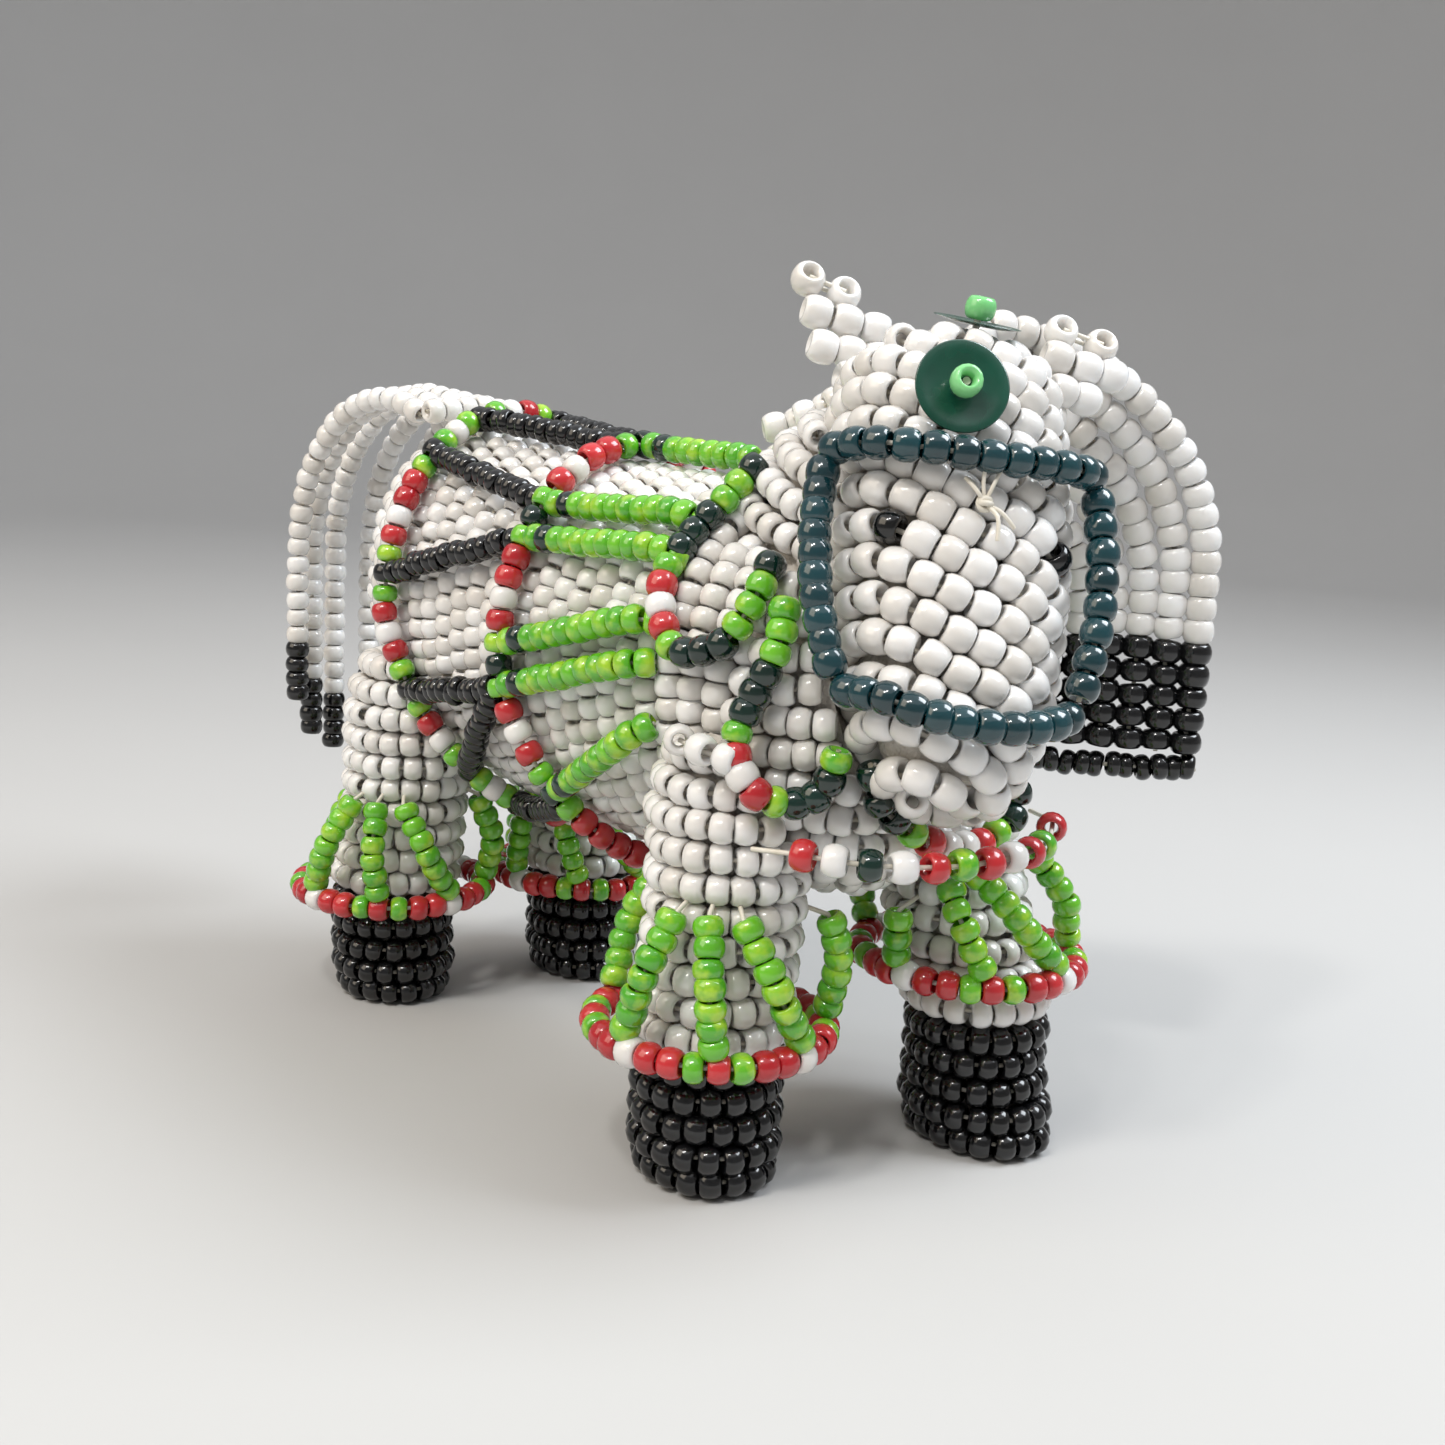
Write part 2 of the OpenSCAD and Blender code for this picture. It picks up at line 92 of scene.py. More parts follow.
VIEW_AHEAD, VIEW_RIGHT, VIEW_UP = add_camera()


# ---- materials
def new_material(name):
    material = bpy.data.materials.new(name)
    material.use_nodes = True
    tree = material.node_tree
    return material, tree, tree.nodes["Principled BSDF"]


def mixed_colour(tree, factor, low, high):
    """A mix of two colours; the low one may be another node's output."""
    node = tree.nodes.new("ShaderNodeMix")
    node.data_type = "RGBA"
    if isinstance(low, tuple):
        node.inputs["A"].default_value = (*low, 1)
    else:
        tree.links.new(low, node.inputs["A"])
    node.inputs["B"].default_value = (*high, 1)
    tree.links.new(factor, node.inputs["Factor"])
    return node.outputs["Result"]


def spread(tree, value, low, high):
    """Maps low..high of a value to 0..1."""
    node = tree.nodes.new("ShaderNodeMapRange")
    node.inputs["From Min"].default_value = low
    node.inputs["From Max"].default_value = high
    tree.links.new(value, node.inputs["Value"])
    return node.outputs["Result"]


def noise(tree, per_metre, detail=2.0):
    place = tree.nodes.new("ShaderNodeTexCoord")
    node = tree.nodes.new("ShaderNodeTexNoise")
    node.inputs["Scale"].default_value = per_metre
    node.inputs["Detail"].default_value = detail
    tree.links.new(place.outputs["Object"], node.inputs["Vector"])
    return node.outputs["Fac"]


def tone(tree):
    """Each bead's own random number."""
    node = tree.nodes.new("ShaderNodeAttribute")
    node.attribute_name = "tone"
    return node.outputs["Fac"]


def bump(tree, shader, per_metre, detail, strength, distance):
    node = tree.nodes.new("ShaderNodeBump")
    node.inputs["Strength"].default_value = strength
    node.inputs["Distance"].default_value = distance
    tree.links.new(noise(tree, per_metre, detail), node.inputs["Height"])
    tree.links.new(node.outputs["Normal"], shader.inputs["Normal"])


def glass_material(name, low, high, roughness, soft, coat, painted_sheen=None):
    """Opaque bead glass: the colour changes from bead to bead, and carries painted sheen patches where asked.
    """
    material, tree, shader = new_material(name)
    colour = mixed_colour(tree, tone(tree), low, high)
    if painted_sheen:
        # Painted sheen: paler noise patches laid over the colour stand in for the lustre's reflections
        sheen_patch, per_metre, edge = painted_sheen
        colour = mixed_colour(tree, spread(tree, noise(tree, per_metre, 3.0), *edge), colour, sheen_patch)
    tree.links.new(colour, shader.inputs["Base Color"])
    shader.inputs["Roughness"].default_value = roughness
    shader.inputs["Coat Weight"].default_value = coat
    shader.inputs["Coat Roughness"].default_value = 0.06
    if soft:
        shader.inputs["Subsurface Weight"].default_value = soft
        shader.inputs["Subsurface Radius"].default_value = (1.0, 0.9, 0.8)
        shader.inputs["Subsurface Scale"].default_value = 0.0007
    bump(tree, shader, 700.0, 2.0, 0.12, 0.0002)
    return material


def plain_material(name, low, high, per_metre, roughness, detail=2.0, relief=None):
    """A colour that wanders between two; relief is the noise scale, its detail, strength and depth."""
    material, tree, shader = new_material(name)
    colour = mixed_colour(tree, noise(tree, per_metre, detail), low, high)
    tree.links.new(colour, shader.inputs["Base Color"])
    shader.inputs["Roughness"].default_value = roughness
    if relief:
        bump(tree, shader, *relief)
    return material


def sequin_material():
    """Thin tinted plastic that lets some light through."""
    material = plain_material(
        "sequin", (0.003, 0.04, 0.024), (0.007, 0.10, 0.06), 420.0, 0.22, relief=(500.0, 3.0, 0.15, 0.0002)
    )
    shader = material.node_tree.nodes["Principled BSDF"]
    shader.inputs["Transmission Weight"].default_value = 0.25
    shader.inputs["IOR"].default_value = 1.5
    return material


# Painted sheen: paler yellow patches in the green glass stand in for its lustre's reflections; colour, noise
# scale, and where in the noise they begin and are full
GREEN_LUSTRE_SHEEN = ((0.38, 0.64, 0.03), 640.0, (0.48, 0.68))
# Glass: low and high colour, roughness, softness, coat, and for green its painted sheen
GLASS = {
    "white": ((0.70, 0.67, 0.63), (0.86, 0.85, 0.84), 0.2, 0.35, 0.5),
    "green": ((0.07, 0.38, 0.012), (0.17, 0.55, 0.02), 0.2, 0, 1.0, GREEN_LUSTRE_SHEEN),
    "dark_green": ((0.001, 0.012, 0.008), (0.002, 0.026, 0.018), 0.14, 0, 0.7),
    "teal": ((0.003, 0.026, 0.033), (0.007, 0.05, 0.062), 0.16, 0, 0.7),
    "red": ((0.42, 0.012, 0.018), (0.58, 0.03, 0.035), 0.2, 0.08, 0.6),
    "black": ((0.002, 0.002, 0.002), (0.006, 0.006, 0.007), 0.16, 0, 0.4),
    "mint": ((0.16, 0.58, 0.18), (0.24, 0.66, 0.26), 0.2, 0.15, 0.4),
}
MATERIALS = {name: glass_material(name + "_glass", *look) for name, look in GLASS.items()}
MATERIALS["thread"] = plain_material("thread", (0.62, 0.56, 0.44), (0.86, 0.83, 0.76), 900.0, 0.42)
STUFFING = plain_material(
    "stuffing", (0.42, 0.38, 0.33), (0.68, 0.65, 0.60), 1400.0, 0.9, 5.0, (2200.0, 6.0, 0.8, 0.0005)
)
SEQUIN = sequin_material()


# ---- bead meshes
# Bead kinds: material, outer radius, hole radius and length in mm, how unevenly it sits.
# White is w on strings, v in the weave, f on the head and e at the ears' tips; b is the small black.
KINDS = {
    "w": ("white", 1.1, 0.4, 1.64, 1.0),
    "v": ("white", 1.1, 0.4, 1.62, 1.7),
    "f": ("white", 1.14, 0.42, 1.98, 1.2),
    "e": ("white", 1.22, 0.5, 1.7, 0.3),
    "g": ("green", 1.08, 0.4, 1.46, 1.0),
    "d": ("dark_green", 1.1, 0.4, 1.62, 1.0),
    "t": ("teal", 1.1, 0.4, 1.74, 0.8),
    "r": ("red", 1.1, 0.42, 1.62, 1.2),
    "k": ("black", 1.13, 0.4, 1.56, 1.2),
    "b": ("black", 1.04, 0.4, 1.22, 2.4),
    "m": ("mint", 1.05, 0.34, 1.5, 0.0),
}
# Section round the glass, as angles from the outermost point, and the number of steps round the hole
FINE = ([-95, -68, -44, -21, 0, 21, 44, 68, 95, 180], 16)
PLAIN = ([-90, -58, -28, 0, 28, 58, 90, 180], 12)
THREAD_R = 0.17
# Radius of a bead's end faces as a share of its outer radius
WAIST_SHARE = 0.6
# Random spread of a bead's place in mm, of its tilt, and of its size and length as shares
PLACE_SPREAD, TILT_SPREAD, SIZE_SPREAD, LENGTH_SPREAD = 0.035, 0.05, 0.015, 0.035
# Order of a face's corners that turns it over
TURNED_OVER = [0, 3, 2, 1]


def tube_faces(rows, sides, closed):
    """Faces between rings of points; a closed tube joins its last ring to its first."""
    return np.array([
        (j * sides + k, j * sides + (k + 1) % sides, after * sides + (k + 1) % sides, after * sides + k)
        for j, after in ((j, (j + 1) % rows) for j in range(rows if closed else rows - 1))
        for k in range(sides)
    ])


def bead_template(kind, detail):
    """Points of one bead as (along the hole, and two ways across it) and its faces."""
    _, outer, hole, length, _ = KINDS[kind]
    angles, around = detail
    waist = WAIST_SHARE * outer
    turn = 2 * np.pi * np.arange(around) / around
    points = []
    for a in np.radians(angles):
        radius = waist + (outer - waist if math.cos(a) > 0 else waist - hole) * math.cos(a)
        ring = [np.full(around, 0.5 * length * math.sin(a)), radius * np.cos(turn), radius * np.sin(turn)]
        points.append(np.stack(ring, axis=1))
    return np.concatenate(points), tube_faces(len(angles), around, True)[:, TURNED_OVER]


def side_axes(axes):
    """Each axis as a unit vector, and two unit vectors across it."""
    axes = axes / np.linalg.norm(axes, axis=1, keepdims=True)
    helper = np.where(np.abs(axes[:, 2:3]) < 0.9, np.array([[0.0, 0.0, 1.0]]), np.array([[1.0, 0.0, 0.0]]))
    u = np.cross(axes, helper)
    u /= np.linalg.norm(u, axis=1, keepdims=True)
    return axes, u, np.cross(axes, u)


class Strung:
    """Beads and threads that become one piece."""

    def __init__(self, name, detail=FINE):
        self.name = name
        self.detail = detail
        self.rng = np.random.default_rng(sum(ord(c) * (i + 1) for i, c in enumerate(name)))
        self.beads = []
        self.points, self.faces, self.slots, self.tones = [], [], [], []
        self.count = 0

    def add(self, centres, axes, kinds, size=1.0):
        """Beads at these centres with their holes along these axes."""
        centres, axes = np.atleast_2d(centres), np.atleast_2d(axes)
        if len(kinds) == 1:
            kinds = kinds * len(centres)
        for centre, axis, kind in zip(centres, axes, kinds):
            self.beads.append((centre, axis, kind, size))

    def thread(self, path, radius=THREAD_R, sides=6, closed=False):
        """A thread along a path."""
        path = np.asarray(path, float)
        if closed:
            ahead = np.roll(path, -1, axis=0) - np.roll(path, 1, axis=0)
        else:
            ahead = np.gradient(path, axis=0)
        _, u, v = side_axes(ahead)
        for i in range(1, len(path)):
            carried = u[i - 1] - ahead[i] * (u[i - 1] @ ahead[i]) / (ahead[i] @ ahead[i])
            u[i] = carried / np.linalg.norm(carried)
            v[i] = np.cross(ahead[i], u[i]) / np.linalg.norm(ahead[i])
        turn = 2 * np.pi * np.arange(sides) / sides
        spokes = u[:, None] * np.cos(turn)[:, None] + v[:, None] * np.sin(turn)[:, None]
        points = (path[:, None] + radius * spokes).reshape(-1, 3)
        self._keep(points, tube_faces(len(path), sides, closed), "thread", np.full(len(points), 0.5))

    def _keep(self, points, faces, slot, tones):
        self.points.append(points)
        self.faces.append(faces + self.count)
        self.slots.extend([slot] * len(faces))
        self.tones.append(tones)
        self.count += len(points)

    def _place_beads(self):
        for kind in sorted({b[2] for b in self.beads}):
            group = [b for b in self.beads if b[2] == kind]
            slot, _, _, _, unevenness = KINDS[kind]
            template, faces = bead_template(kind, self.detail)
            centres = np.array([b[0] for b in group])
            axes, _, _ = side_axes(np.array([b[1] for b in group]))
            number = len(group)
            centres += self.rng.normal(0, PLACE_SPREAD * unevenness, (number, 3))
            axes += self.rng.normal(0, TILT_SPREAD * unevenness, (number, 3))
            axes, u, v = side_axes(axes)
            sizes = np.array([b[3] for b in group]) * self.rng.normal(1, SIZE_SPREAD, number)
            long = self.rng.normal(1, LENGTH_SPREAD, number) * sizes
            across = template[None, :, 1:2] * u[:, None] + template[None, :, 2:3] * v[:, None]
            local = template[None, :, 0:1] * axes[:, None] * long[:, None, None]
            local += across * sizes[:, None, None]
            points = centres[:, None] + local
            steps = len(template) * np.arange(number)
            all_faces = (faces[None] + steps[:, None, None]).reshape(-1, 4)
            tones = np.repeat(self.rng.random(number), len(template))
            self._keep(points.reshape(-1, 3), all_faces, slot, tones)

    def make(self, body, nodes, slot):
        """The finished piece, riding on its body in place of its CAD nodes."""
        self._place_beads()
        points = (np.concatenate(self.points) + ORIGIN_SHIFT) * MM
        faces = np.concatenate(self.faces)
        mesh = bpy.data.meshes.new(self.name)
        mesh.vertices.add(len(points))
        mesh.vertices.foreach_set("co", points.astype(np.float32).ravel())
        mesh.loops.add(faces.size)
        mesh.loops.foreach_set("vertex_index", faces.astype(np.int32).ravel())
        mesh.polygons.add(len(faces))
        mesh.polygons.foreach_set("loop_start", np.arange(0, faces.size, 4, dtype=np.int32))
        used = sorted(set(self.slots))
        for name in used:
            mesh.materials.append(MATERIALS[name])
        mesh.polygons.foreach_set("material_index", np.array([used.index(s) for s in self.slots], np.int32))
        mesh.update(calc_edges=True)
        mesh.polygons.foreach_set("use_smooth", np.ones(len(faces), bool))
        attribute = mesh.attributes.new("tone", "FLOAT", "POINT")
        attribute.data.foreach_set("value", np.concatenate(self.tones).astype(np.float32))
        piece = add_object(self.name, mesh)
        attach(piece, body)
        if nodes:
            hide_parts(*nodes)


def smooth_object(name, points, faces, material):
    mesh = bpy.data.meshes.new(name)
    mesh.from_pydata(points.tolist(), [], faces.tolist())
    mesh.materials.append(material)
    mesh.polygons.foreach_set("use_smooth", np.ones(len(faces), bool))
    return add_object(name, mesh)


# ---- curves
def unit(vector):
    vector = np.asarray(vector, float)
    return vector / np.linalg.norm(vector)


def mix(a, b, t):
    return a + (b - a) * t


def power(x, exponent):
    return np.sign(x) * np.abs(x) ** exponent


def spline(points, steps):
    """The same smooth curve through given points that the CAD uses."""
    p = [np.asarray(q, float) for q in points]
    last = len(p) - 1
    out = []
    for i in range(last):
        a, b, c, d = p[max(i - 1, 0)], p[i], p[min(i + 1, last)], p[min(i + 2, last)]
        for k in range(steps):
            t = k / steps
            bend = (2 * a - 5 * b + 4 * c - d) * t * t + (3 * b - a - 3 * c + d) * t**3
            out.append(0.5 * (2 * b + (c - a) * t + bend))
    out.append(p[last])
    return np.array(out)


def lengths(path):
    return np.concatenate([[0], np.cumsum(np.linalg.norm(np.diff(path, axis=0), axis=1))])


def along(path, distances):
    """Points and directions at these distances along a path."""
    reach = lengths(path)

    def at(where):
        return np.stack([np.interp(where, reach, path[:, k]) for k in range(3)], axis=1)

    return at(distances), at(distances + 0.5) - at(distances - 0.5)


def count_along(path, step, least=1):
    """How many beads fill a path."""
    return max(least, round(lengths(path)[-1] / step))


def even(path, number, start=0.5):
    """Centres and directions of a number of beads spaced evenly along a path."""
    return along(path, (np.arange(number) + start) * lengths(path)[-1] / number)


def string_of(piece, path, kinds, size=1.0, ends=()):
    """A row of beads that fills a path, with its thread; a blank leaves the thread bare.

    The ends are points beyond the path that the thread runs on to.
    """
    centres, axes = even(path, len(kinds))
    for centre, axis, kind in zip(centres, axes, kinds):
        if kind != " ":
            piece.add(centre, axis, kind, size)
    if len(ends):
        path = np.concatenate([ends[:1], path, ends[1:]])
    piece.thread(path)


def single_string(body, node, slot, path, kinds, size=1.0, ends=()):
    """A piece that is one string of beads, in place of one CAD node."""
    piece = Strung(node + "_beads")
    string_of(piece, path, kinds, size, ends)
    piece.make(body, [node], slot)


def flat_circle(degrees):
    """Level unit vectors at these angles from the horse's left."""
    a = np.radians(degrees)
    return np.stack([np.cos(a), np.sin(a), 0 * a], axis=-1)


def shrunk(outline, scale):
    """An outline scaled about its middle."""
    middle = outline.mean(axis=0)
    return middle + (outline - middle) * scale


def columns(table, at):
    """The other columns of a table, read off at places in its first."""
    return [np.interp(at, table[:, 0], column) for column in table[:, 1:].T]


# ---- shapes of the woven parts
TRUNK_Z, TRUNK_HALF_W, TRUNK_HALF_H = 33.6, 12.4, 14.8
# Station, rise of the centre, half width and half height as shares
TRUNK_TABLE = np.array([
    [-30.4, -1.6, 0.42, 0.42], [-28.6, -1.2, 0.7, 0.71], [-24.6, -0.5, 0.92, 0.91], [-16, 0, 1, 1],
    [-6, 0.2, 1, 1], [4, 0.6, 0.98, 1.01], [14, 1.8, 0.97, 1.03], [22, 3.2, 0.93, 1.01],
    [27, 4.2, 0.77, 0.84], [30.5, 4.7, 0.44, 0.48],
])


def trunk_size(y):
    """Centre height, half width and half height of the trunk at y."""
    rise, w, h = columns(TRUNK_TABLE, y)
    return TRUNK_Z + rise, TRUNK_HALF_W * w, TRUNK_HALF_H * h


def trunk_point(y, degrees, lift=0.0):
    """Point on the trunk at station y and an angle from the left side over the back."""
    a = np.radians(degrees)
    centre, w, h = trunk_size(y)
    return np.stack([(w + lift) * np.cos(a), y + 0 * a, centre + (h + lift) * np.sin(a)], axis=-1)


def trunk_depth(points):
    """Rough distance outside the trunk, negative inside."""
    centre, w, h = trunk_size(points[:, 1])
    q = np.hypot(points[:, 0] / w, (points[:, 2] - centre) / h)
    beyond = np.maximum(TRUNK_TABLE[0, 0] - points[:, 1], points[:, 1] - TRUNK_TABLE[-1, 0])
    return np.maximum((q - 1) * np.minimum(w, h), beyond)


NECK_BASE, NECK_TOP = np.array([0, -16, 34.0]), np.array([1.8, -23, 52.0])
NECK_AXIS = unit(NECK_TOP - NECK_BASE)
NECK_SIDE = np.array([1.0, 0, 0])
NECK_BACK = np.cross(NECK_AXIS, NECK_SIDE)
# Distance up the neck, half width, half depth
NECK_TABLE = np.array([
    [0, 9.8, 12.4], [5, 9.2, 11.2], [10, 8.5, 10], [15, 7.7, 8.4], [18, 6.4, 6.4], [20, 4.2, 4.2],
])
NECK_LENGTH = NECK_TABLE[-1, 0]


def neck_point(s, degrees, lift=0.0):
    a = np.radians(degrees)
    w, d = (size + lift for size in columns(NECK_TABLE, s))
    return (
        NECK_BASE + NECK_AXIS * np.asarray(s, float)[..., None]
        + NECK_SIDE * (w * np.cos(a))[..., None] + NECK_BACK * (d * np.sin(a))[..., None]
    )


def neck_depth(points):
    v = points - NECK_BASE
    s = v @ NECK_AXIS
    w, d = columns(NECK_TABLE, s)
    q = np.hypot(v @ NECK_SIDE / w, v @ NECK_BACK / d)
    return np.maximum((q - 1) * np.minimum(w, d), np.maximum(-s, s - NECK_LENGTH))


HEAD_TURN, HEAD_LEAN, HEAD_TILT = math.radians(-28), math.radians(24), math.radians(5.5)
POLL = np.array([3.8, -25, 57.5])
FACE_OUT = np.array([math.sin(HEAD_TURN), -math.cos(HEAD_TURN), 0])
LEVEL_SIDE = np.array([math.cos(HEAD_TURN), math.sin(HEAD_TURN), 0])
HEAD_DOWN = unit(FACE_OUT * math.tan(HEAD_LEAN) - LEVEL_SIDE * math.tan(HEAD_TILT) - np.array([0, 0, 1.0]))
FACE_SIDE = unit(LEVEL_SIDE - HEAD_DOWN * (LEVEL_SIDE @ HEAD_DOWN))
FACE_NORMAL = np.cross(HEAD_DOWN, FACE_SIDE)
# Distance down the head, half width, half depth
HEAD_TABLE = np.array([
    [0, 4.5, 3.5], [1.6, 6.9, 5.5], [4.4, 7.9, 6.8], [9, 8.2, 7.2], [15, 8.1, 7.1],
    [20.5, 7.7, 6.6], [24.5, 7.1, 6], [28, 6.1, 5.3], [30.4, 4.7, 4.2], [32.2, 3, 2.6],
])
HEAD_LENGTH = HEAD_TABLE[-1, 0]


def head_point(s, degrees, lift=0.0):
    """Point on the head at distance s from the poll; 0 degrees is its left, -90 its face."""
    a = np.radians(degrees)
    s = np.asarray(s, float) + 0 * a
    w, d = (size + lift for size in columns(HEAD_TABLE, s))
    return (
        POLL + HEAD_DOWN * s[..., None] + FACE_SIDE * (w * power(np.cos(a), 0.8))[..., None]
        - FACE_NORMAL * (d * power(np.sin(a), 0.8))[..., None]
    )


def head_depth(points):
    v = points - POLL
    s = v @ HEAD_DOWN
    w, d = columns(HEAD_TABLE, s)
    q = (np.abs(v @ FACE_SIDE / w) ** 2.5 + np.abs(v @ FACE_NORMAL / d) ** 2.5) ** 0.4
    return np.maximum((q - 1) * np.minimum(w, d), np.maximum(-s, s - HEAD_LENGTH))


# Leg: centre inside the trunk, centre at the hoof's top, skirt ring's height, skirt's length
LEG_TOP_Z, HOOF_H, LEG_R = 32.0, 10.0, 5.8
LEGS = {
    "front_right": (np.array([-8.4, -20.5]), np.array([-10, -20.3]), 11, 9.5),
    "front_left": (np.array([8.4, -21.5]), np.array([10.8, -27.8]), 14, 8),
    "rear_right": (np.array([-7.6, 20.5]), np.array([-8.8, 23.0]), 10, 9),
    "rear_left": (np.array([7.6, 19.5]), np.array([9.2, 18.0]), 10, 9),
}


def leg_centre(leg, z):
    t = np.maximum((np.asarray(z, float) - HOOF_H) / (LEG_TOP_Z - HOOF_H), 0)[..., None]
    flat = mix(leg[1], leg[0], t)
    return np.concatenate([flat, np.asarray(z, float)[..., None]], axis=-1)


def leg_radius(z):
    return LEG_R + np.interp(z, [0, 20, 27, LEG_TOP_Z], [0, 0, 0.7, -0.6])


def leg_depth(points, leg):
    centre = leg_centre(leg, points[:, 2])
    out = np.linalg.norm((points - centre)[:, :2], axis=1) - leg_radius(points[:, 2])
    return np.maximum(out, points[:, 2] - LEG_TOP_Z)


# ---- woven rows
def closed_row(outline, step, phase):
    """Bead centres and directions round a closed outline."""
    loop = np.concatenate([outline, outline[:1]])
    total = lengths(loop)[-1]
    number = count_along(loop, step, 3)
    wrapped = np.concatenate([loop, loop[1:4]])
    return along(wrapped, (np.arange(number) + phase) % number * total / number)


# Beads this deep inside another woven part are left out
HIDDEN_DEPTH = 1.7
# Least distance between the centres of beads of different rows
LEAST_GAP = 1.55
# Places tried for single beads, and the distance from every other bead that makes room for one
FILL_STEP = 0.8
FILL_GAP = 1.75
# Neighbours in a row that are further apart than this aren't threaded together
THREAD_REACH = 2.6
ROUND = np.arange(0, 360, 5.0)


class Weave:
    """Keeps every woven bead placed so far, so that later parts leave room for them."""

    def __init__(self):
        self.centres = np.zeros((0, 3))

    def keep(self, piece, centres, axes, kind, clear_of=(), gap=LEAST_GAP):
        """Adds the beads of a row that aren't hidden in a part or in the way of a placed bead."""
        good = np.ones(len(centres), bool)
        for depth in clear_of:
            good &= depth(centres) > -HIDDEN_DEPTH
        if len(self.centres) and good.any():
            near = np.linalg.norm(centres[:, None] - self.centres[None], axis=2).min(axis=1)
            good &= near > gap
        piece.add(centres[good], axes[good], kind)
        return centres[good]

    def remember(self, *groups):
        self.centres = np.concatenate([self.centres, *groups])

    def fill_gaps(self, piece, outlines, kind, shown):
        """Single beads wherever the rows left a hole."""
        for outline in outlines:
            centres, axes = closed_row(outline, FILL_STEP, 0.0)
            open_spots = shown(centres)
            for centre, axis in zip(centres[open_spots], axes[open_spots]):
                if np.linalg.norm(self.centres - centre, axis=1).min() > FILL_GAP:
                    piece.add(centre, axis, kind)
                    self.remember(centre[None])


weave = Weave()


def ring_stations(table, start, end):
    """Row stations a bead apart along a profile that starts with distance and radius."""
    fine = np.linspace(start, end, 400)
    reach = lengths(np.stack([fine, columns(table, fine)[0]], axis=1))
    number = max(1, round(reach[-1] / ROW_STEP))
    return np.interp(np.linspace(0, reach[-1], number + 1), reach, fine)


def row_thread(piece, centres):
    """A thread through the beads of a row that stayed next to each other."""
    if len(centres) < 3:
        return
    steps = np.linalg.norm(np.roll(centres, -1, axis=0) - centres, axis=1)
    breaks = np.where(steps > THREAD_REACH)[0]
    if len(breaks) == 0:
        piece.thread(centres, sides=4, closed=True)
        return
    turned = np.roll(centres, -(breaks[0] + 1), axis=0)
    steps = np.linalg.norm(np.diff(turned, axis=0), axis=1)
    for run in np.split(turned, np.where(steps > THREAD_REACH)[0] + 1):
        if len(run) > 1:
            piece.thread(run, sides=4)


# The rings run from the chest to the rump's end; the rump piece starts at RUMP_Y
CHEST_Y, RUMP_Y = -20.0, 12.0
RUMP_END_Y = TRUNK_TABLE[-1, 0] - WEAVE_DEPTH
CHEST_END_Y = TRUNK_TABLE[0, 0] + WEAVE_DEPTH
CHEST_LOW_Z, CHEST_HIGH_Z = 20.4, 46.0
# Rounds that close the rump, as shares of its end outline, and the step between them
RUMP_CAP = (0.68, 0.38, 0.1)
RUMP_CAP_STEP = 0.12
# Trunk beads this near the head, or this deep inside a leg, are left out
HEAD_NEAR, LEG_HIDDEN_DEPTH = 0.2, 2.4


def shown_on_trunk(centres):
    """Trunk beads that the neck, the head or a leg doesn't hide."""
    shown = (neck_depth(centres) > -HIDDEN_DEPTH) & (head_depth(centres) > HEAD_NEAR)
    for leg in LEGS.values():
        shown &= leg_depth(centres, leg) > -LEG_HIDDEN_DEPTH
    return shown


def trunk_row(piece, centres, axes):
    good = shown_on_trunk(centres)
    centres = centres[good]
    piece.add(centres, axes[good], "v")
    row_thread(piece, centres)
    return centres


def trunk_beads():
    """Rings round the barrel, level rows across the chest."""
    names = ("trunk_rump_beads", "trunk_barrel_beads", "trunk_chest_beads")
    parts = {name: Strung(name, PLAIN) for name in names}
    profile = TRUNK_TABLE[:, [0, 2]] * [1, (TRUNK_HALF_W + TRUNK_HALF_H) / 2]
    rows = [(y, 1.0) for y in ring_stations(profile, CHEST_Y, RUMP_END_Y)]
    rows += [(RUMP_END_Y + RUMP_CAP_STEP * number, scale) for number, scale in enumerate(RUMP_CAP)]
    kept = []
    for number, (y, scale) in enumerate(rows):
        outline = shrunk(trunk_point(y, ROUND, -WEAVE_DEPTH), scale)
        piece = parts["trunk_rump_beads" if y > RUMP_Y else "trunk_barrel_beads"]
        row = closed_row(outline, BEAD_STEP, 0.5 * (number % 2) + 0.2 * piece.rng.random())
        kept.append(trunk_row(piece, *row))
    kept += chest_rows(parts["trunk_chest_beads"])
    weave.remember(*kept)
    for name, start, end in (
        ("trunk_chest_beads", CHEST_END_Y, CHEST_Y), ("trunk_barrel_beads", CHEST_Y, RUMP_END_Y)
    ):
        outlines = [trunk_point(y, ROUND, -WEAVE_DEPTH) for y in np.arange(start, end, FILL_STEP)]
        weave.fill_gaps(parts[name], outlines, "v", shown_on_trunk)
    for piece in parts.values():
        piece.make("horse", ["trunk_weave"], "white_beads")


def chest_rows(piece):
    """Level rows that wrap the front of the trunk from side to side."""
    kept = []
    ys = np.linspace(CHEST_Y - 1.0, CHEST_END_Y, 40)
    centre, w, h = trunk_size(ys)
    for number, z in enumerate(np.arange(CHEST_LOW_Z, CHEST_HIGH_Z, ROW_STEP)):
        inside = 1 - ((z - centre) / (h - WEAVE_DEPTH)) ** 2
        good = inside > 0
        if good.sum() < 3:
            continue
        x = (w - WEAVE_DEPTH)[good] * np.sqrt(inside[good])
        side = np.stack([x, ys[good], np.full(good.sum(), z)], axis=1)
        outline = np.concatenate([side * MIRROR, side[::-1]])
        beads = count_along(outline, BEAD_STEP, 2)
        kept.append(trunk_row(piece, *even(outline, beads, 0.5 + 0.25 * (number % 2))))
    return kept


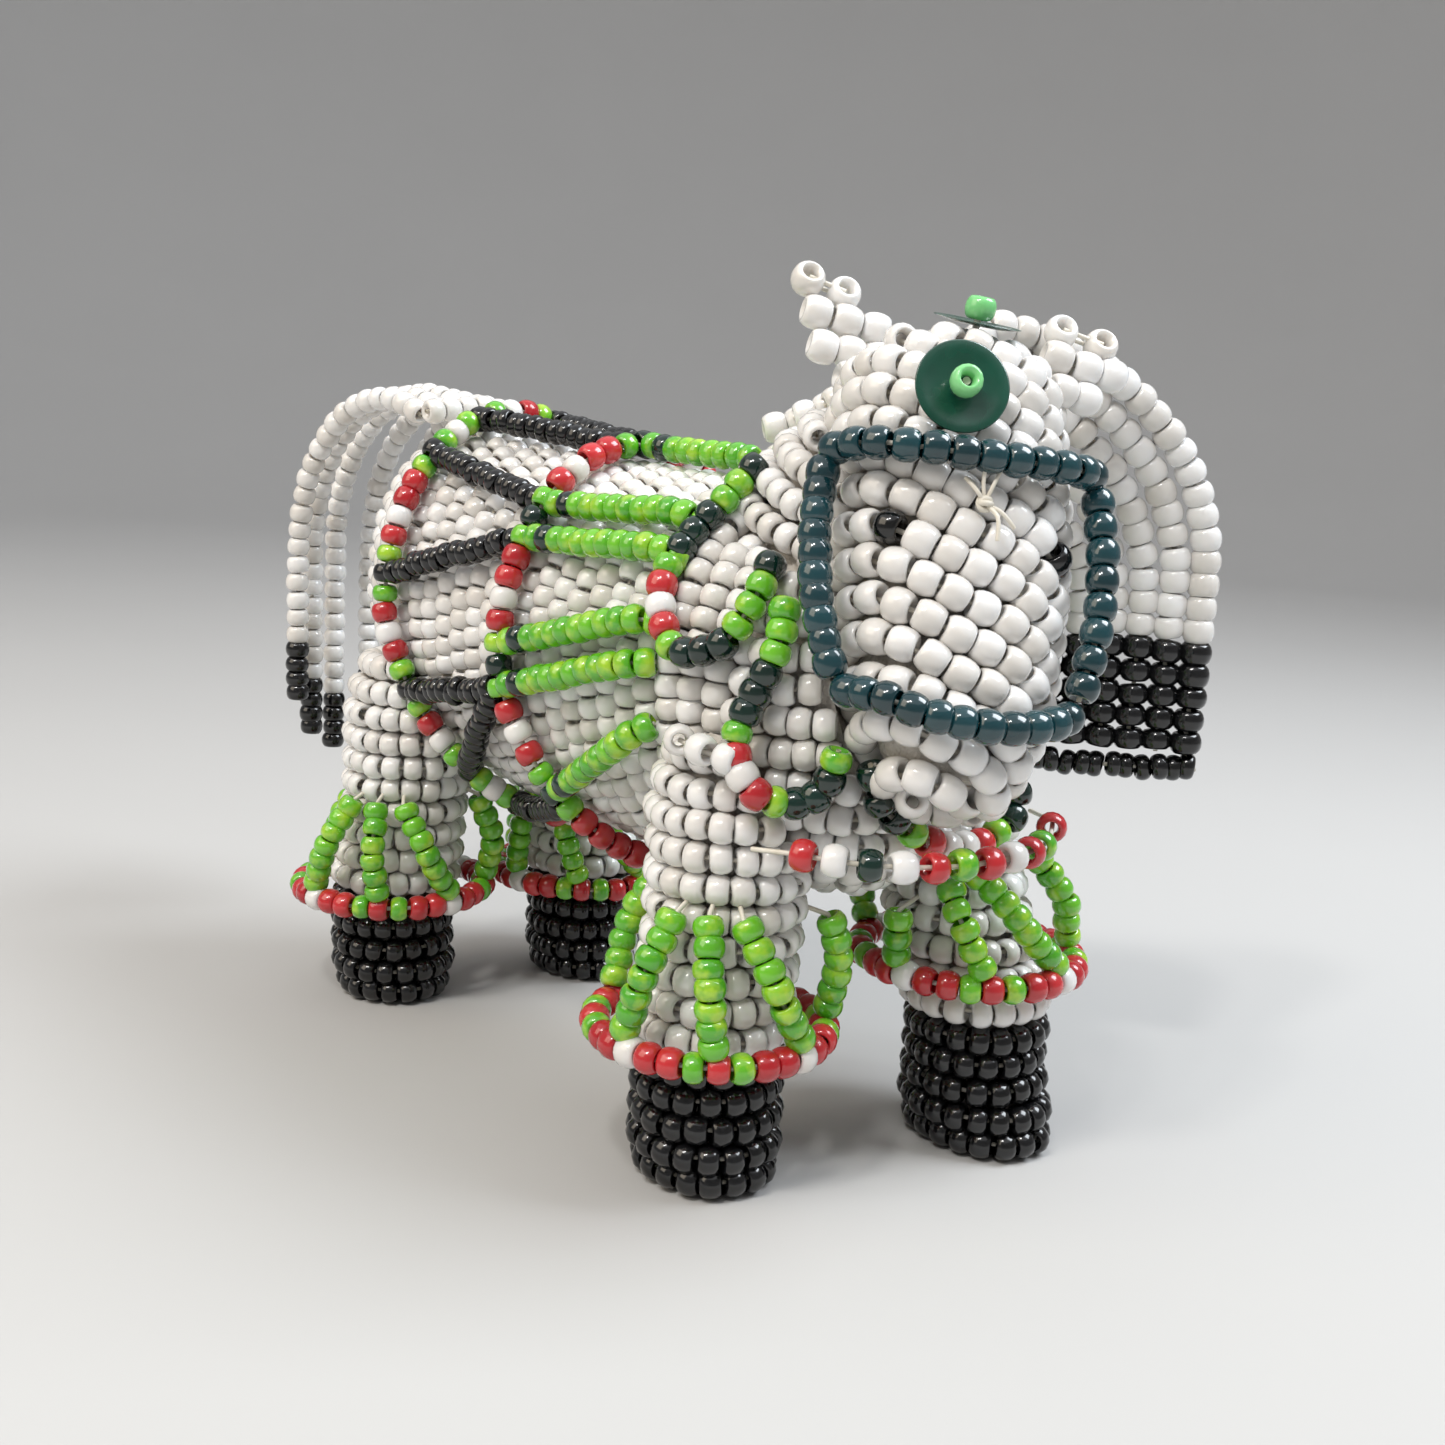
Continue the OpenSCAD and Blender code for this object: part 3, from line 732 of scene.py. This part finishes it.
def neck_beads():
    piece = Strung("neck_beads", PLAIN)
    kept = []
    for number, s in enumerate(ring_stations(NECK_TABLE, 1.0, NECK_LENGTH - 0.6)):
        row = closed_row(neck_point(s, ROUND, -WEAVE_DEPTH), BEAD_STEP, 0.5 * (number % 2))
        row = weave.keep(piece, *row, "v", clear_of=(trunk_depth, head_depth), gap=1.4)
        row_thread(piece, row)
        kept.append(row)
    cap = closed_row(neck_point(NECK_LENGTH - 0.4, ROUND, -WEAVE_DEPTH - 1.6), BEAD_STEP, 0.0)
    kept.append(weave.keep(piece, *cap, "v", clear_of=(trunk_depth, head_depth)))
    weave.remember(*kept)
    outlines = [neck_point(s, ROUND, -WEAVE_DEPTH) for s in np.arange(0.5, NECK_LENGTH, FILL_STEP)]
    weave.fill_gaps(piece, outlines, "v", lambda c: np.minimum(trunk_depth(c), head_depth(c)) > -HIDDEN_DEPTH)
    piece.make("horse", ["neck_weave"], "white_beads")


# Face rows drop towards the horse's left
FACE_ROW_SLOPE = 0.45
FACE_BEAD_STEP = 2.0
FACE_ROW_STEP = 2.3
# Each eye's distance from the poll and angle on the head
EYES = {"eye_right": (15.9, -144.0), "eye_left": (15.9, -52.0)}
# Rounds that close the poll and the muzzle: distance from the end, size against the end's outline
HEAD_CAPS = ((0.9, 0.8), (0.55, 0.45), (0.45, 0.1))


def head_row(piece, outline, phase, gap):
    centres, axes = closed_row(outline, FACE_BEAD_STEP, phase)
    down = (centres - POLL) @ HEAD_DOWN
    good = (down > 0.55) & (down < HEAD_LENGTH - 0.65)
    row = weave.keep(piece, centres[good], axes[good], "f", gap=gap)
    weave.remember(row)
    row_thread(piece, row)


def head_beads():
    piece = Strung("head_beads")
    for number, row_s in enumerate(np.arange(-3.0, HEAD_LENGTH + 4, FACE_ROW_STEP)):
        w, _ = columns(HEAD_TABLE, row_s)
        s = row_s + FACE_ROW_SLOPE * w * np.cos(np.radians(ROUND))
        if ((s > 0.5) & (s < HEAD_LENGTH - 0.6)).any():
            outline = head_point(np.clip(s, 0.5, HEAD_LENGTH - 0.6), ROUND, -WEAVE_DEPTH)
            head_row(piece, outline, 0.5 * (number % 2), 1.35)
    for inset, scale in HEAD_CAPS:
        for s in (inset, HEAD_LENGTH - inset):
            head_row(piece, shrunk(head_point(s, ROUND, -WEAVE_DEPTH), scale), 0.3, 1.5)
    outlines = [head_point(s, ROUND, -WEAVE_DEPTH) for s in np.arange(0.6, HEAD_LENGTH - 0.5, FILL_STEP)]
    for end in (outlines[0], outlines[-1]):
        outlines += [shrunk(end, scale) for scale in np.arange(0.85, 0.0, -0.15)]
    weave.fill_gaps(piece, outlines, "f", lambda c: c[:, 2] > 0)
    for name, (s, a) in EYES.items():
        spot = head_point(s, a, -WEAVE_DEPTH)
        nearest = min(range(len(piece.beads)), key=lambda i: np.linalg.norm(piece.beads[i][0] - spot))
        centre, axis = piece.beads.pop(nearest)[:2]
        eye = Strung(name + "_bead")
        eye.add(centre + 0.25 * unit(centre - POLL - HEAD_DOWN * s), axis, "k", 1.04)
        eye.make("horse", [name], "black_beads")
    piece.make("horse", ["head_weave"], "white_beads")


# A short loop that stands proud of the weave at the top of one leg
SHOULDER_LOOP_LEG = "front_right"
SHOULDER_LOOP = np.array([[-14.9, -21.0, 31.6], [-14.7, -22.9, 31.2], [-14.0, -24.7, 30.9]])
SHOULDER_LOOP_HOLE = np.array([[-0.5, -0.9, 0.0], [-0.1, -1.0, -0.1], [0.1, -1.0, -0.2]])
# Height of the lowest white row of a leg
LEG_FOOT_Z = HOOF_H + 1.2


def leg_beads(name, leg):
    piece = Strung(name + "_leg_beads", PLAIN)

    def outline(z):
        return leg_centre(leg, z) + (leg_radius(z) - WEAVE_DEPTH) * flat_circle(ROUND)

    kept = []
    for number, z in enumerate(np.arange(LEG_FOOT_Z, LEG_TOP_Z, ROW_STEP)):
        row = closed_row(outline(z), BEAD_STEP, 0.5 * (number % 2) + 0.15 * piece.rng.random())
        row = weave.keep(piece, *row, "v", clear_of=(trunk_depth,), gap=1.45)
        row_thread(piece, row)
        kept.append(row)
    weave.remember(*kept)
    outlines = [outline(z) for z in np.arange(LEG_FOOT_Z, LEG_TOP_Z, FILL_STEP)]
    weave.fill_gaps(piece, outlines, "v", lambda c: trunk_depth(c) > -HIDDEN_DEPTH)
    if name == SHOULDER_LOOP_LEG:
        piece.add(SHOULDER_LOOP, SHOULDER_LOOP_HOLE, "w")
        piece.thread(SHOULDER_LOOP)
    piece.make("horse", [name + "_leg"], "white_beads")


# Hoof rows: height, half width, half length; the toe pushes the rows below TOE_TOP_Z forward
HOOF_ROWS = [(1.22, 3.8, 4.3), (3.05, 4.3, 4.6), (5.05, 4.4, 4.45), (7.05, 4.4, 4.4), (9.0, 4.45, 4.45)]
TOES = {"front_left": 0.9}
PLAIN_TOE, TOE_TOP_Z = 0.2, 6.0
HOOF_BEAD_STEP = 1.55


def hoof_beads(name, leg):
    piece = Strung(name + "_hoof_beads", PLAIN)
    toe = TOES.get(name, PLAIN_TOE)
    rows = []
    for z, w, length in HOOF_ROWS:
        push = toe * max(0, 1 - z / TOE_TOP_Z)
        rows.append((z, w, length + push, push))
    sole_z = HOOF_ROWS[0][0]
    rows += [(sole_z, 1.9, 2.4 + toe * 0.5, toe), (sole_z, 0.3, 0.7, toe)]
    for number, (z, w, length, push) in enumerate(rows):
        outline = leg_centre(leg, 0.0) + flat_circle(ROUND) * [w, length, 0] + [0, -push, z]
        centres, axes = closed_row(outline, HOOF_BEAD_STEP, 0.5 * (number % 2))
        piece.add(centres, axes, "k")
        row_thread(piece, centres)
    piece.make("horse", [name + "_hoof"], "black_beads")


# ---- ears
# Bead centres in the ear's plane; the loop beads at the tip turn their holes to the front
EARS = {
    "ear_right": (
        [(-2.13, -17.51, 61.98), (0.02, -18.96, 61.18)],
        [
            [(-2.2, -18.6, 59.75), (-0.45, -19.75, 59.3), (1.4, -20.9, 58.9)],
            [(-2.4, -19.6, 57.5), (-0.7, -20.6, 57.1), (1.1, -21.6, 56.9), (2.9, -22.3, 57.6)],
            [(-1.3, -21.2, 55.4), (0.7, -22.2, 55.0)],
        ],
    ),
    "ear_left": (
        [(11.76, -28.89, 59.6), (14.2, -30.6, 58.8)],
        [
            [(10.9, -29.3, 57.7), (12.7, -30.5, 57.2), (14.4, -31.5, 56.9)],
            [(10.4, -30.2, 55.5), (12.2, -31.0, 55.1)],
            [(10.2, -29.7, 53.6)],
        ],
    ),
}


def ears():
    for node, (loop, rows) in EARS.items():
        piece = Strung(node + "_beads")
        hole = FACE_NORMAL + np.array([0.0, 0.0, 0.25])
        piece.add(np.array(loop), np.tile(hole, (len(loop), 1)), "e")
        for turn in (0.35, -0.35):
            piece.thread(spline([p + FACE_NORMAL * turn for p in np.array(loop)], 4))
        for row in rows:
            row = np.array(row)
            across = np.gradient(row, axis=0) if len(row) > 1 else FACE_SIDE[None]
            piece.add(row, across, "f", 1.04)
            if len(row) > 1:
                piece.thread(row)
        piece.make("horse", [node], "white_beads")


# ---- face knot
KNOT_SPOT = (14.0, -92.0)
# Ends of the knotted thread, as (left, up, out) from the knot, in mm
KNOT_ENDS = [
    [(0, 0, 0), (-0.3, 1.2, 0.5), (-0.2, 2.6, 0.9)], [(0, 0, 0), (0.3, 1.0, 0.6), (0.9, 2.2, 0.6)],
    [(0, 0, 0), (0.9, -0.6, 0.4), (1.9, -1.4, 0.1)], [(0, 0, 0), (0.6, -1.0, 0.5), (0.7, -2.4, 0.2)],
    [(0, 0, 0), (-0.7, 0.6, 0.4), (-1.3, 1.5, 0.1)],
]


def face_knot():
    """Tied-off thread on the face: three small wraps and some loose ends."""
    piece = Strung("face_knot")
    spot = head_point(*KNOT_SPOT, 0.35)
    frame_of_face = np.array([FACE_SIDE, -HEAD_DOWN, FACE_NORMAL])
    for end in KNOT_ENDS:
        piece.thread(spot + spline(end, 5) @ frame_of_face, radius=0.14)
    turn = np.linspace(0, 2 * math.pi, 19)[:-1]
    for tilt, size in ((0.0, 0.42), (0.9, 0.36), (1.9, 0.4)):
        across = np.sin(turn)
        wrap = size * np.stack([np.cos(turn), across * math.cos(tilt), across * math.sin(tilt)], axis=1)
        piece.thread(spot + wrap @ frame_of_face, radius=0.2, closed=True)
    piece.make("horse", [], "thread")


# ---- bridle
BRIDLE_LIFT = BEAD_R + 0.15
BROW_ANGLES = (-166, -140, -118, -90, -65, -48, -34)
NOSE_ANGLES = (-168, -140, -114, -92, -74, -57, -40)


def brow_s(a):
    return 9.6 + 1.7 * math.sin(math.radians(a)) ** 2


def nose_s(a):
    return 25 + 2.8 * math.sin(math.radians(a)) ** 2


def cheek_path(brow_a, nose_a, bow):
    return spline([
        head_point(
            mix(brow_s(brow_a), nose_s(nose_a), t), mix(brow_a, nose_a, t),
            BRIDLE_LIFT + bow * math.sin(math.pi * t)
        )
        for t in (0.06, 0.3, 0.5, 0.7, 0.94)
    ], 6)


def bridle():
    brow = spline([head_point(brow_s(a), a, BRIDLE_LIFT) for a in BROW_ANGLES], 6)
    nose = spline([head_point(nose_s(a), a, BRIDLE_LIFT) for a in NOSE_ANGLES], 6)
    for name, path, number in (
        ("browband", brow, 12), ("noseband", nose, 11),
        ("cheek_strap_right", cheek_path(BROW_ANGLES[0], NOSE_ANGLES[0], 0.9), 10),
        ("cheek_strap_left", cheek_path(BROW_ANGLES[-1], NOSE_ANGLES[-1], 0.6), 8),
    ):
        single_string("horse", name, "teal_beads", path, "t" * number)


# ---- sequins
# The disc's section: radius and height above the seat, once round
SEQUIN_SECTION = [
    (0.34, 1.0), (0.9, 1.0), (1.8, 1.03), (2.3, 1.1), (2.92, 1.22), (3.0, 1.27), (2.92, 1.3),
    (2.3, 1.2), (1.8, 1.13), (0.9, 1.1), (0.34, 1.1),
]
SEQUIN_SIDES = 64
# Height of the stop bead's centre above the seat
STOP_HEIGHT = 2.15
FOREHEAD_DIR = unit(FACE_NORMAL + np.array([-0.15, 0.05, -0.1]))
FOREHEAD_SEAT = head_point(6.7, -101.0, 0.2)
CROWN_DIR = unit(np.array([0, -0.2, 1.0]))
CROWN_SEAT = POLL + FACE_SIDE * 1.2 + FACE_OUT * 2 + np.array([0, 0, 0.9])


def sequin(name, seat, direction):
    """A thin dished disc with a hole, from a turned section."""
    _, u, v = (a[0] for a in side_axes(direction[None]))
    turn = 2 * np.pi * np.arange(SEQUIN_SIDES)[:, None] / SEQUIN_SIDES
    spokes = u * np.cos(turn) + v * np.sin(turn)
    rings = [seat + direction * height + radius * spokes for radius, height in SEQUIN_SECTION]
    faces = tube_faces(len(SEQUIN_SECTION), SEQUIN_SIDES, True)[:, TURNED_OVER]
    return smooth_object(name, (np.concatenate(rings) + ORIGIN_SHIFT) * MM, faces, SEQUIN)


def sequins():
    for name, seat, direction in (
        ("forehead", FOREHEAD_SEAT, FOREHEAD_DIR), ("crown", CROWN_SEAT, CROWN_DIR),
    ):
        disc = sequin(name + "_sequin_disc", seat, direction)
        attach(disc, name + "_sequin")
        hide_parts(name + "_sequin")
        stop = Strung(name + "_stop")
        stop.add(seat + direction * STOP_HEIGHT, direction, "m")
        stop.make("horse", [name + "_stop_bead"], "mint_beads")


# ---- mane
MANE_COUNT = 7
MANE_CREST = (np.array([8.6, -22.4, 60.2]), np.array([3.2, -9.4, 53.0]))
MANE_TIPS = (np.array([27, -33.5, 29.0]), np.array([19.2, -23, 29.0]))
MANE_ARCH_H = 17.0
MANE_ROW_GAP = 2.5


def mane_riser(t):
    return np.array([-0.4, 0.2, -mix(2.4, 1.2, t)])


def mane_path(number):
    t = number / (MANE_COUNT - 1)
    root, tip = mix(*MANE_CREST, t), mix(*MANE_TIPS, t)
    reach = np.array([tip[0] - root[0], tip[1] - root[1], 0])
    arch = min(MANE_ARCH_H, root[2] - tip[2] - 6)
    curve = [root + mane_riser(t)]
    curve += [
        root + reach * math.sin(u) - np.array([0, 0, arch * (1 - math.cos(u))])
        for u in np.radians(np.arange(8, 90.01, 4))
    ]
    curve += [np.array([tip[0], tip[1], z]) for z in np.arange(root[2] - arch - 2, tip[2] + 1, -2)]
    curve.append(tip)
    return np.array(curve)


MANE_BLACK_BEADS = 5
MANE_BEAD_STEP = 1.78
# The mane's beads are a little larger than the rest
MANE_SIZE = 1.09


def mane():
    for number in range(MANE_COUNT):
        path = mane_path(number)
        kinds = "w" * (count_along(path, MANE_BEAD_STEP) - MANE_BLACK_BEADS) + "k" * MANE_BLACK_BEADS
        single_string("mane", f"mane_strand_{number + 1}", "white_beads", path, kinds, MANE_SIZE)
    path = np.array([
        mix(*MANE_CREST, t) + mane_riser(t) - [0, 0, MANE_ROW_GAP] for t in np.linspace(-0.08, 1.08, 12)
    ])
    single_string("horse", "mane_root", "white_beads", path, "w" * 10)
    direction = unit(MANE_TIPS[1] - MANE_TIPS[0])
    start = MANE_TIPS[0] - direction - [0, 0, BEAD_R + 0.1]
    middle = mix(*MANE_TIPS, 0.5) - [0, 0, BEAD_R + 0.3]
    end = MANE_TIPS[1] + direction * 2 - [0, 0, BEAD_R + 0.1]
    single_string("mane", "mane_tip_row", "black_beads", spline([start, middle, end], 8), "b" * 14)


# ---- tail
TAIL_SEAT = np.array([0, 26.4, 52.2])
TAIL_ARCH_H = 15.0
# The arch starts this far before its top, in degrees
TAIL_START = -25
TAIL_RISE = math.radians(TAIL_START)
TAIL_BEAD_STEP = 1.7
# Strands: place on the sewn row, where it hangs (left, back), height of its white end
TAIL_PLAN = [
    (-4.8, (-7.4, 17.5), 29), (-2.4, (-4.8, 19.5), 25), (0, (-1.4, 21), 23),
    (2.4, (2, 20), 27), (4.8, (5.2, 18), 30),
]


def tail_path(x, reach_to, low_z):
    root = TAIL_SEAT + [x, 0, -abs(x) * 0.12]
    reach = np.array([reach_to[0] - x, reach_to[1], 0])
    low = root[2] - TAIL_ARCH_H * math.cos(TAIL_RISE)
    curve = [
        root + reach * (math.sin(u) - math.sin(TAIL_RISE)) / (1 - math.sin(TAIL_RISE))
        + np.array([0, 0, TAIL_ARCH_H * (math.cos(u) - math.cos(TAIL_RISE))])
        for u in np.radians(np.arange(TAIL_START, 90.01, 5))
    ]
    curve += [np.array([*(root + reach)[:2], z]) for z in np.arange(low - 3, low_z + 1, -2)]
    curve.append(np.array([*(root + reach)[:2], low_z]))
    return np.array(curve)


def tail():
    strands = Strung("tail_strand_beads")
    tips = Strung("tail_tip_beads")
    for x, reach_to, low_z in TAIL_PLAN:
        path = tail_path(x, reach_to, low_z)
        string_of(strands, path, "w" * count_along(path, TAIL_BEAD_STEP))
        end = path[-1]
        string_of(tips, np.array([end, end - [0, 0, 2.8], end - [0, 0, 5.6]]), "k" * 4)
    strands.make("tail", ["tail_strands"], "white_beads")
    tips.make("tail", ["tail_tips"], "black_beads")
    path = np.array([TAIL_SEAT + [x, -2.5, 0.5 - abs(x) * 0.12] for x in np.linspace(-6, 6, 9)])
    single_string("tail_root", "tail_root", "white_beads", path, "w" * 7)


# ---- net
NET_LIFT = BEAD_R + 0.1
# Rings: station over the back, and how far forward the belly side leans
GIRTH, RUMP = (1.5, 8.0), (18.5, 10.0)
# Where strands meet the right half of each ring, in degrees; the spine strand stands apart
GIRTH_KNOTS = (90, 141, 183, 219)
RUMP_KNOTS = ((108,), (130, 172), (204, 230), (248,))
# How deep the green strands' front ends go into the weave
SHOULDER_DIP = 1.3
SHOULDER_AT, SPINE_END = -16.0, -12.0
SHOULDER_ENDS = ((), (130, 142), (160, 171), (187,))
KNOT_HALF_DEG = 6.0
# Bead steps along the rings, the green strands and the black strands
RING_STEP, GREEN_STEP, BLACK_STEP = 1.68, 1.4, 1.12


def ring_y(ring, degrees):
    """Station of a ring at an angle."""
    at, slope = ring
    return at - slope * np.maximum(0, -np.sin(np.radians(degrees))) ** 1.5


def net_strand(y0, a0, y1, a1, dip=0.0):
    """A strand over the weave; a dip takes its far end down into the weave."""
    t = np.linspace(0.04, 0.96, 20)
    sink = dip * np.clip((t - 0.8) / 0.16, 0, 1) ** 2
    return trunk_point(mix(y0, y1, t), mix(a0, a1, t), NET_LIFT - sink)


def ring_between(piece, ring, knots, knot_kind):
    """Beads of a ring: a knot bead, greens beside it, reds, and a white in the middle."""
    for start, end in zip(knots, knots[1:] + [knots[0] + 360]):
        degrees = np.linspace(start, end, 24)
        path = trunk_point(ring_y(ring, degrees), degrees, NET_LIFT)
        number = count_along(path, RING_STEP, 4)
        between = ["r"] * (number - 1)
        between[0] = between[-1] = "g"
        between[(number - 1) // 2] = "w"
        centres, axes = along(path, np.arange(number) * lengths(path)[-1] / number)
        piece.add(centres, axes, knot_kind + "".join(between))
        piece.thread(path)


def mirrored_angles(angles):
    return sorted(set(angles) | {(180 - a) % 360 for a in angles})


def green_strand(piece, path):
    string_of(piece, path, "gd" + "g" * (count_along(path, GREEN_STEP) - 2))


def net():
    girth = Strung("girth_ring_beads")
    ring_between(girth, GIRTH, mirrored_angles(GIRTH_KNOTS), "d")
    girth.make("horse", ["girth_ring"], "red_beads")
    rump = Strung("rump_ring_beads")
    ring_between(rump, RUMP, mirrored_angles(sum(RUMP_KNOTS, ())), "k")
    rump.make("horse", ["rump_ring"], "red_beads")
    black = Strung("rump_strand_beads")
    green = Strung("shoulder_strand_beads")
    green_strand(green, net_strand(GIRTH[0], 90, SPINE_END, 90))
    for side in (np.ones(3), MIRROR):
        for number, knot in enumerate(GIRTH_KNOTS):
            for end in RUMP_KNOTS[number]:
                start = knot + math.copysign(KNOT_HALF_DEG, end - knot)
                path = side * net_strand(ring_y(GIRTH, knot), start, ring_y(RUMP, end), end)
                string_of(black, path, "b" * count_along(path, BLACK_STEP))
            ends = SHOULDER_ENDS[number]
            for i, end in enumerate(ends):
                start = knot + (i - (len(ends) - 1) / 2) * 2 * KNOT_HALF_DEG
                path = net_strand(ring_y(GIRTH, knot), start, SHOULDER_AT, end, SHOULDER_DIP)
                green_strand(green, side * path)
    black.make("horse", ["rump_strands"], "black_beads")
    green.make("horse", ["shoulder_strands"], "green_beads")


# ---- collar
# Each loop on the right shoulder: its route and its beads
PETALS = [
    ([[-4.6, -16.6, 49.6], [-7.2, -15.6, 46.6], [-10.9, -14.7, 42.3], [-12.4, -15.8, 39],
      [-12.8, -18, 36.9], [-12.2, -21.4, 37.7], [-10.9, -22.9, 40.6], [-9, -22.7, 43.6]],
     "dggdddgrwrgdddgggd"),
    ([[-10.2, -25.3, 41], [-11.3, -25.8, 38], [-12.4, -24.9, 34.6], [-13.5, -24.7, 31.6],
      [-13.1, -26.3, 28.9], [-10.6, -27.6, 28.3], [-9.4, -29, 29.4], [-9.3, -29.8, 32]],
     "gggdddgrwrgdddg"),
]
# The left side's first loop starts this many points along, under the mane
LEFT_PETAL_START = 2
FRINGE = [
    [-7.6, -31, 31.2], [-7, -31.1, 29.6], [-6.3, -31.3, 28.2], [-4.2, -31.6, 26.7], [-1, -32, 25.2],
    [3.8, -32, 24.7], [7, -32, 26.2], [7.4, -31.8, 28.2], [6.6, -31.6, 30.4],
]
BREAST_ROW = [
    [-12.6, -29, 25.6], [-9.5, -33.4, 25.4], [-4.5, -36, 25.2],
    [0.5, -37, 25.4], [5.4, -36, 25.4], [9, -34, 26],
]
# Where the breast row's thread is sewn in at each end
BREAST_ROW_SEWN = [[-13.3, -26.6, 25.4], [10.2, -31.2, 26.0]]


def collar():
    petals = Strung("collar_petal_beads")
    for route, kinds in PETALS:
        string_of(petals, spline(route, 8), kinds)
    left = np.array(PETALS[0][0][LEFT_PETAL_START:]) * MIRROR
    string_of(petals, spline(left, 8), "dgrwrgdddgggd")
    string_of(petals, spline(np.array(PETALS[1][0]) * MIRROR, 8), PETALS[1][1])
    petals.make("horse", ["collar_petals"], "dark_green_beads")
    single_string("horse", "breast_fringe", "dark_green_beads", spline(FRINGE, 8), "dddgrwwrgddd")
    row, ends = spline(BREAST_ROW, 8), np.array(BREAST_ROW_SEWN)
    single_string("breast_row", "breast_row", "red_beads", row, "rwdwrgrwrg r", ends=ends)


# ---- leg skirts
# Angles round the leg at which each strand leaves the leg and meets the ring
SKIRT_TOPS = (198, 217, 236, 305, 380, 450)
SKIRT_FEET = (180, 229, 276, 322, 385, 470)
SKIRT_R = 8.0
SKIRT_TOP_R = LEG_R + BEAD_R + 0.45
SKIRT_TOP_GAP = 1.0
# How far the top bead of a strand is drawn in, and how far in its thread is sewn
SKIRT_TUCK = 0.6
SKIRT_SEWN_R = 5.3
SKIRT_BEAD_STEP = 1.38
SKIRT_RING_PATTERN = "wrrgrgrr"


def skirt(name, leg):
    _, _, ring_z, height = leg
    strands = Strung(name + "_skirt_beads")
    for top, foot in zip(SKIRT_TOPS, SKIRT_FEET):
        points = []
        for t, above, radius in (
            (0, height, SKIRT_TOP_R - SKIRT_TUCK), (0.4, height * 0.6, SKIRT_TOP_R + 0.9),
            (0.7, height * 0.3, SKIRT_R + 0.2), (1, BEAD_R * 0.8, SKIRT_R),
        ):
            points.append(leg_centre(leg, ring_z + above) + flat_circle(mix(top, foot, t)) * radius)
        path = spline(points, 6)
        path = path[trunk_depth(path) > SKIRT_TOP_GAP + 0.6]
        out = path[0] - leg_centre(leg, path[0][2])
        sewn = path[0] - out * (1 - SKIRT_SEWN_R / np.linalg.norm(out)) + np.array([0, 0, 0.5])
        string_of(strands, path, "g" * count_along(path, SKIRT_BEAD_STEP, 3), ends=sewn[None])
    strands.make(name + "_skirt", [name + "_skirt"], "green_beads")
    loop = leg_centre(leg, ring_z) + SKIRT_R * flat_circle(np.arange(0, 361, 7.5))
    single_string(name + "_skirt", name + "_skirt_ring", "red_beads", loop, SKIRT_RING_PATTERN * 4)


# ---- CAD pieces that stay
CAD_LOOKS = {"_stuffing": STUFFING, "_thread": MATERIALS["thread"]}


def keep_cad_pieces():
    """Paints the CAD meshes that stay: the stuffing and the sequins' threads."""
    for node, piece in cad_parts.items():
        for ending, material in CAD_LOOKS.items():
            if node.endswith(ending):
                piece.data.materials.clear()
                piece.data.materials.append(material)


# ---- studio
# The lamps aim at this point of the horse, in mm of the row frame
LAMP_TARGET = np.array([-5.0, -10.0, 34.0])
# Lamps: place from the target by the camera's right, up and back in mm, size in m, watts, colour
LAMPS = {
    "key": ((260, 280, 60), 0.2, 1.35, (0.88, 0.94, 1.0)),
    "fill": ((-300, 230, 200), 0.3, 0.7, (1.0, 0.88, 0.72)),
    "lamp_a": ((-150, 300, 300), 0.04, 0.42, (1.0, 0.98, 0.95)),
    "lamp_b": ((-60, 320, 300), 0.04, 0.42, (1.0, 0.98, 0.95)),
}


def softbox(name, offset, size, watts, colour):
    data = bpy.data.lights.new(name, "AREA")
    data.energy, data.size, data.color = watts, size, colour
    right, up, back = offset
    place = LAMP_TARGET + VIEW_RIGHT * right + VIEW_UP * up - VIEW_AHEAD * back
    toward = unit(LAMP_TARGET - place)
    across = unit(np.cross(toward, [0, 0, 1.0]))
    add_object(name, data).matrix_world = looking(toward, across, np.cross(across, toward), place)


# The pale floor curves up into a pale wall all round: flat radius, curve's radius and wall's top in m
SWEEP_FLAT, SWEEP_RISE, SWEEP_TOP = 0.7, 0.5, 1.1


def studio():
    material = plain_material("floor", (0.49, 0.485, 0.475), (0.51, 0.505, 0.495), 12.0, 0.9)
    sweep = [(0.0, 0.0), (SWEEP_FLAT, 0.0)]
    for a in np.radians(np.arange(6, 91, 6)):
        sweep.append((SWEEP_FLAT + SWEEP_RISE * math.sin(a), SWEEP_RISE * (1 - math.cos(a))))
    sweep.append((SWEEP_FLAT + SWEEP_RISE, SWEEP_TOP))
    circle = flat_circle(np.arange(0, 360, 3.75))
    points = np.concatenate([circle * radius + [0, 0, z] for radius, z in sweep])
    faces = tube_faces(len(sweep), len(circle), False)[:, TURNED_OVER]
    floor = smooth_object("floor", points, faces, material)
    world = bpy.data.worlds.new("studio")
    world.use_nodes = True
    background = world.node_tree.nodes["Background"]
    background.inputs["Color"].default_value = (0.93, 0.94, 0.97, 1)
    background.inputs["Strength"].default_value = 0.85
    scene = bpy.context.scene
    scene.world = world
    scene.view_settings.view_transform = "Standard"
    scene.view_settings.exposure = 0.06
    for name, lamp in LAMPS.items():
        softbox(name, *lamp)


# ---- the whole horse
trunk_beads()
head_beads()
neck_beads()
face_knot()
for leg_name, leg_data in LEGS.items():
    leg_beads(leg_name, leg_data)
    hoof_beads(leg_name, leg_data)
    skirt(leg_name, leg_data)
ears()
bridle()
sequins()
mane()
tail()
net()
collar()
keep_cad_pieces()
studio()
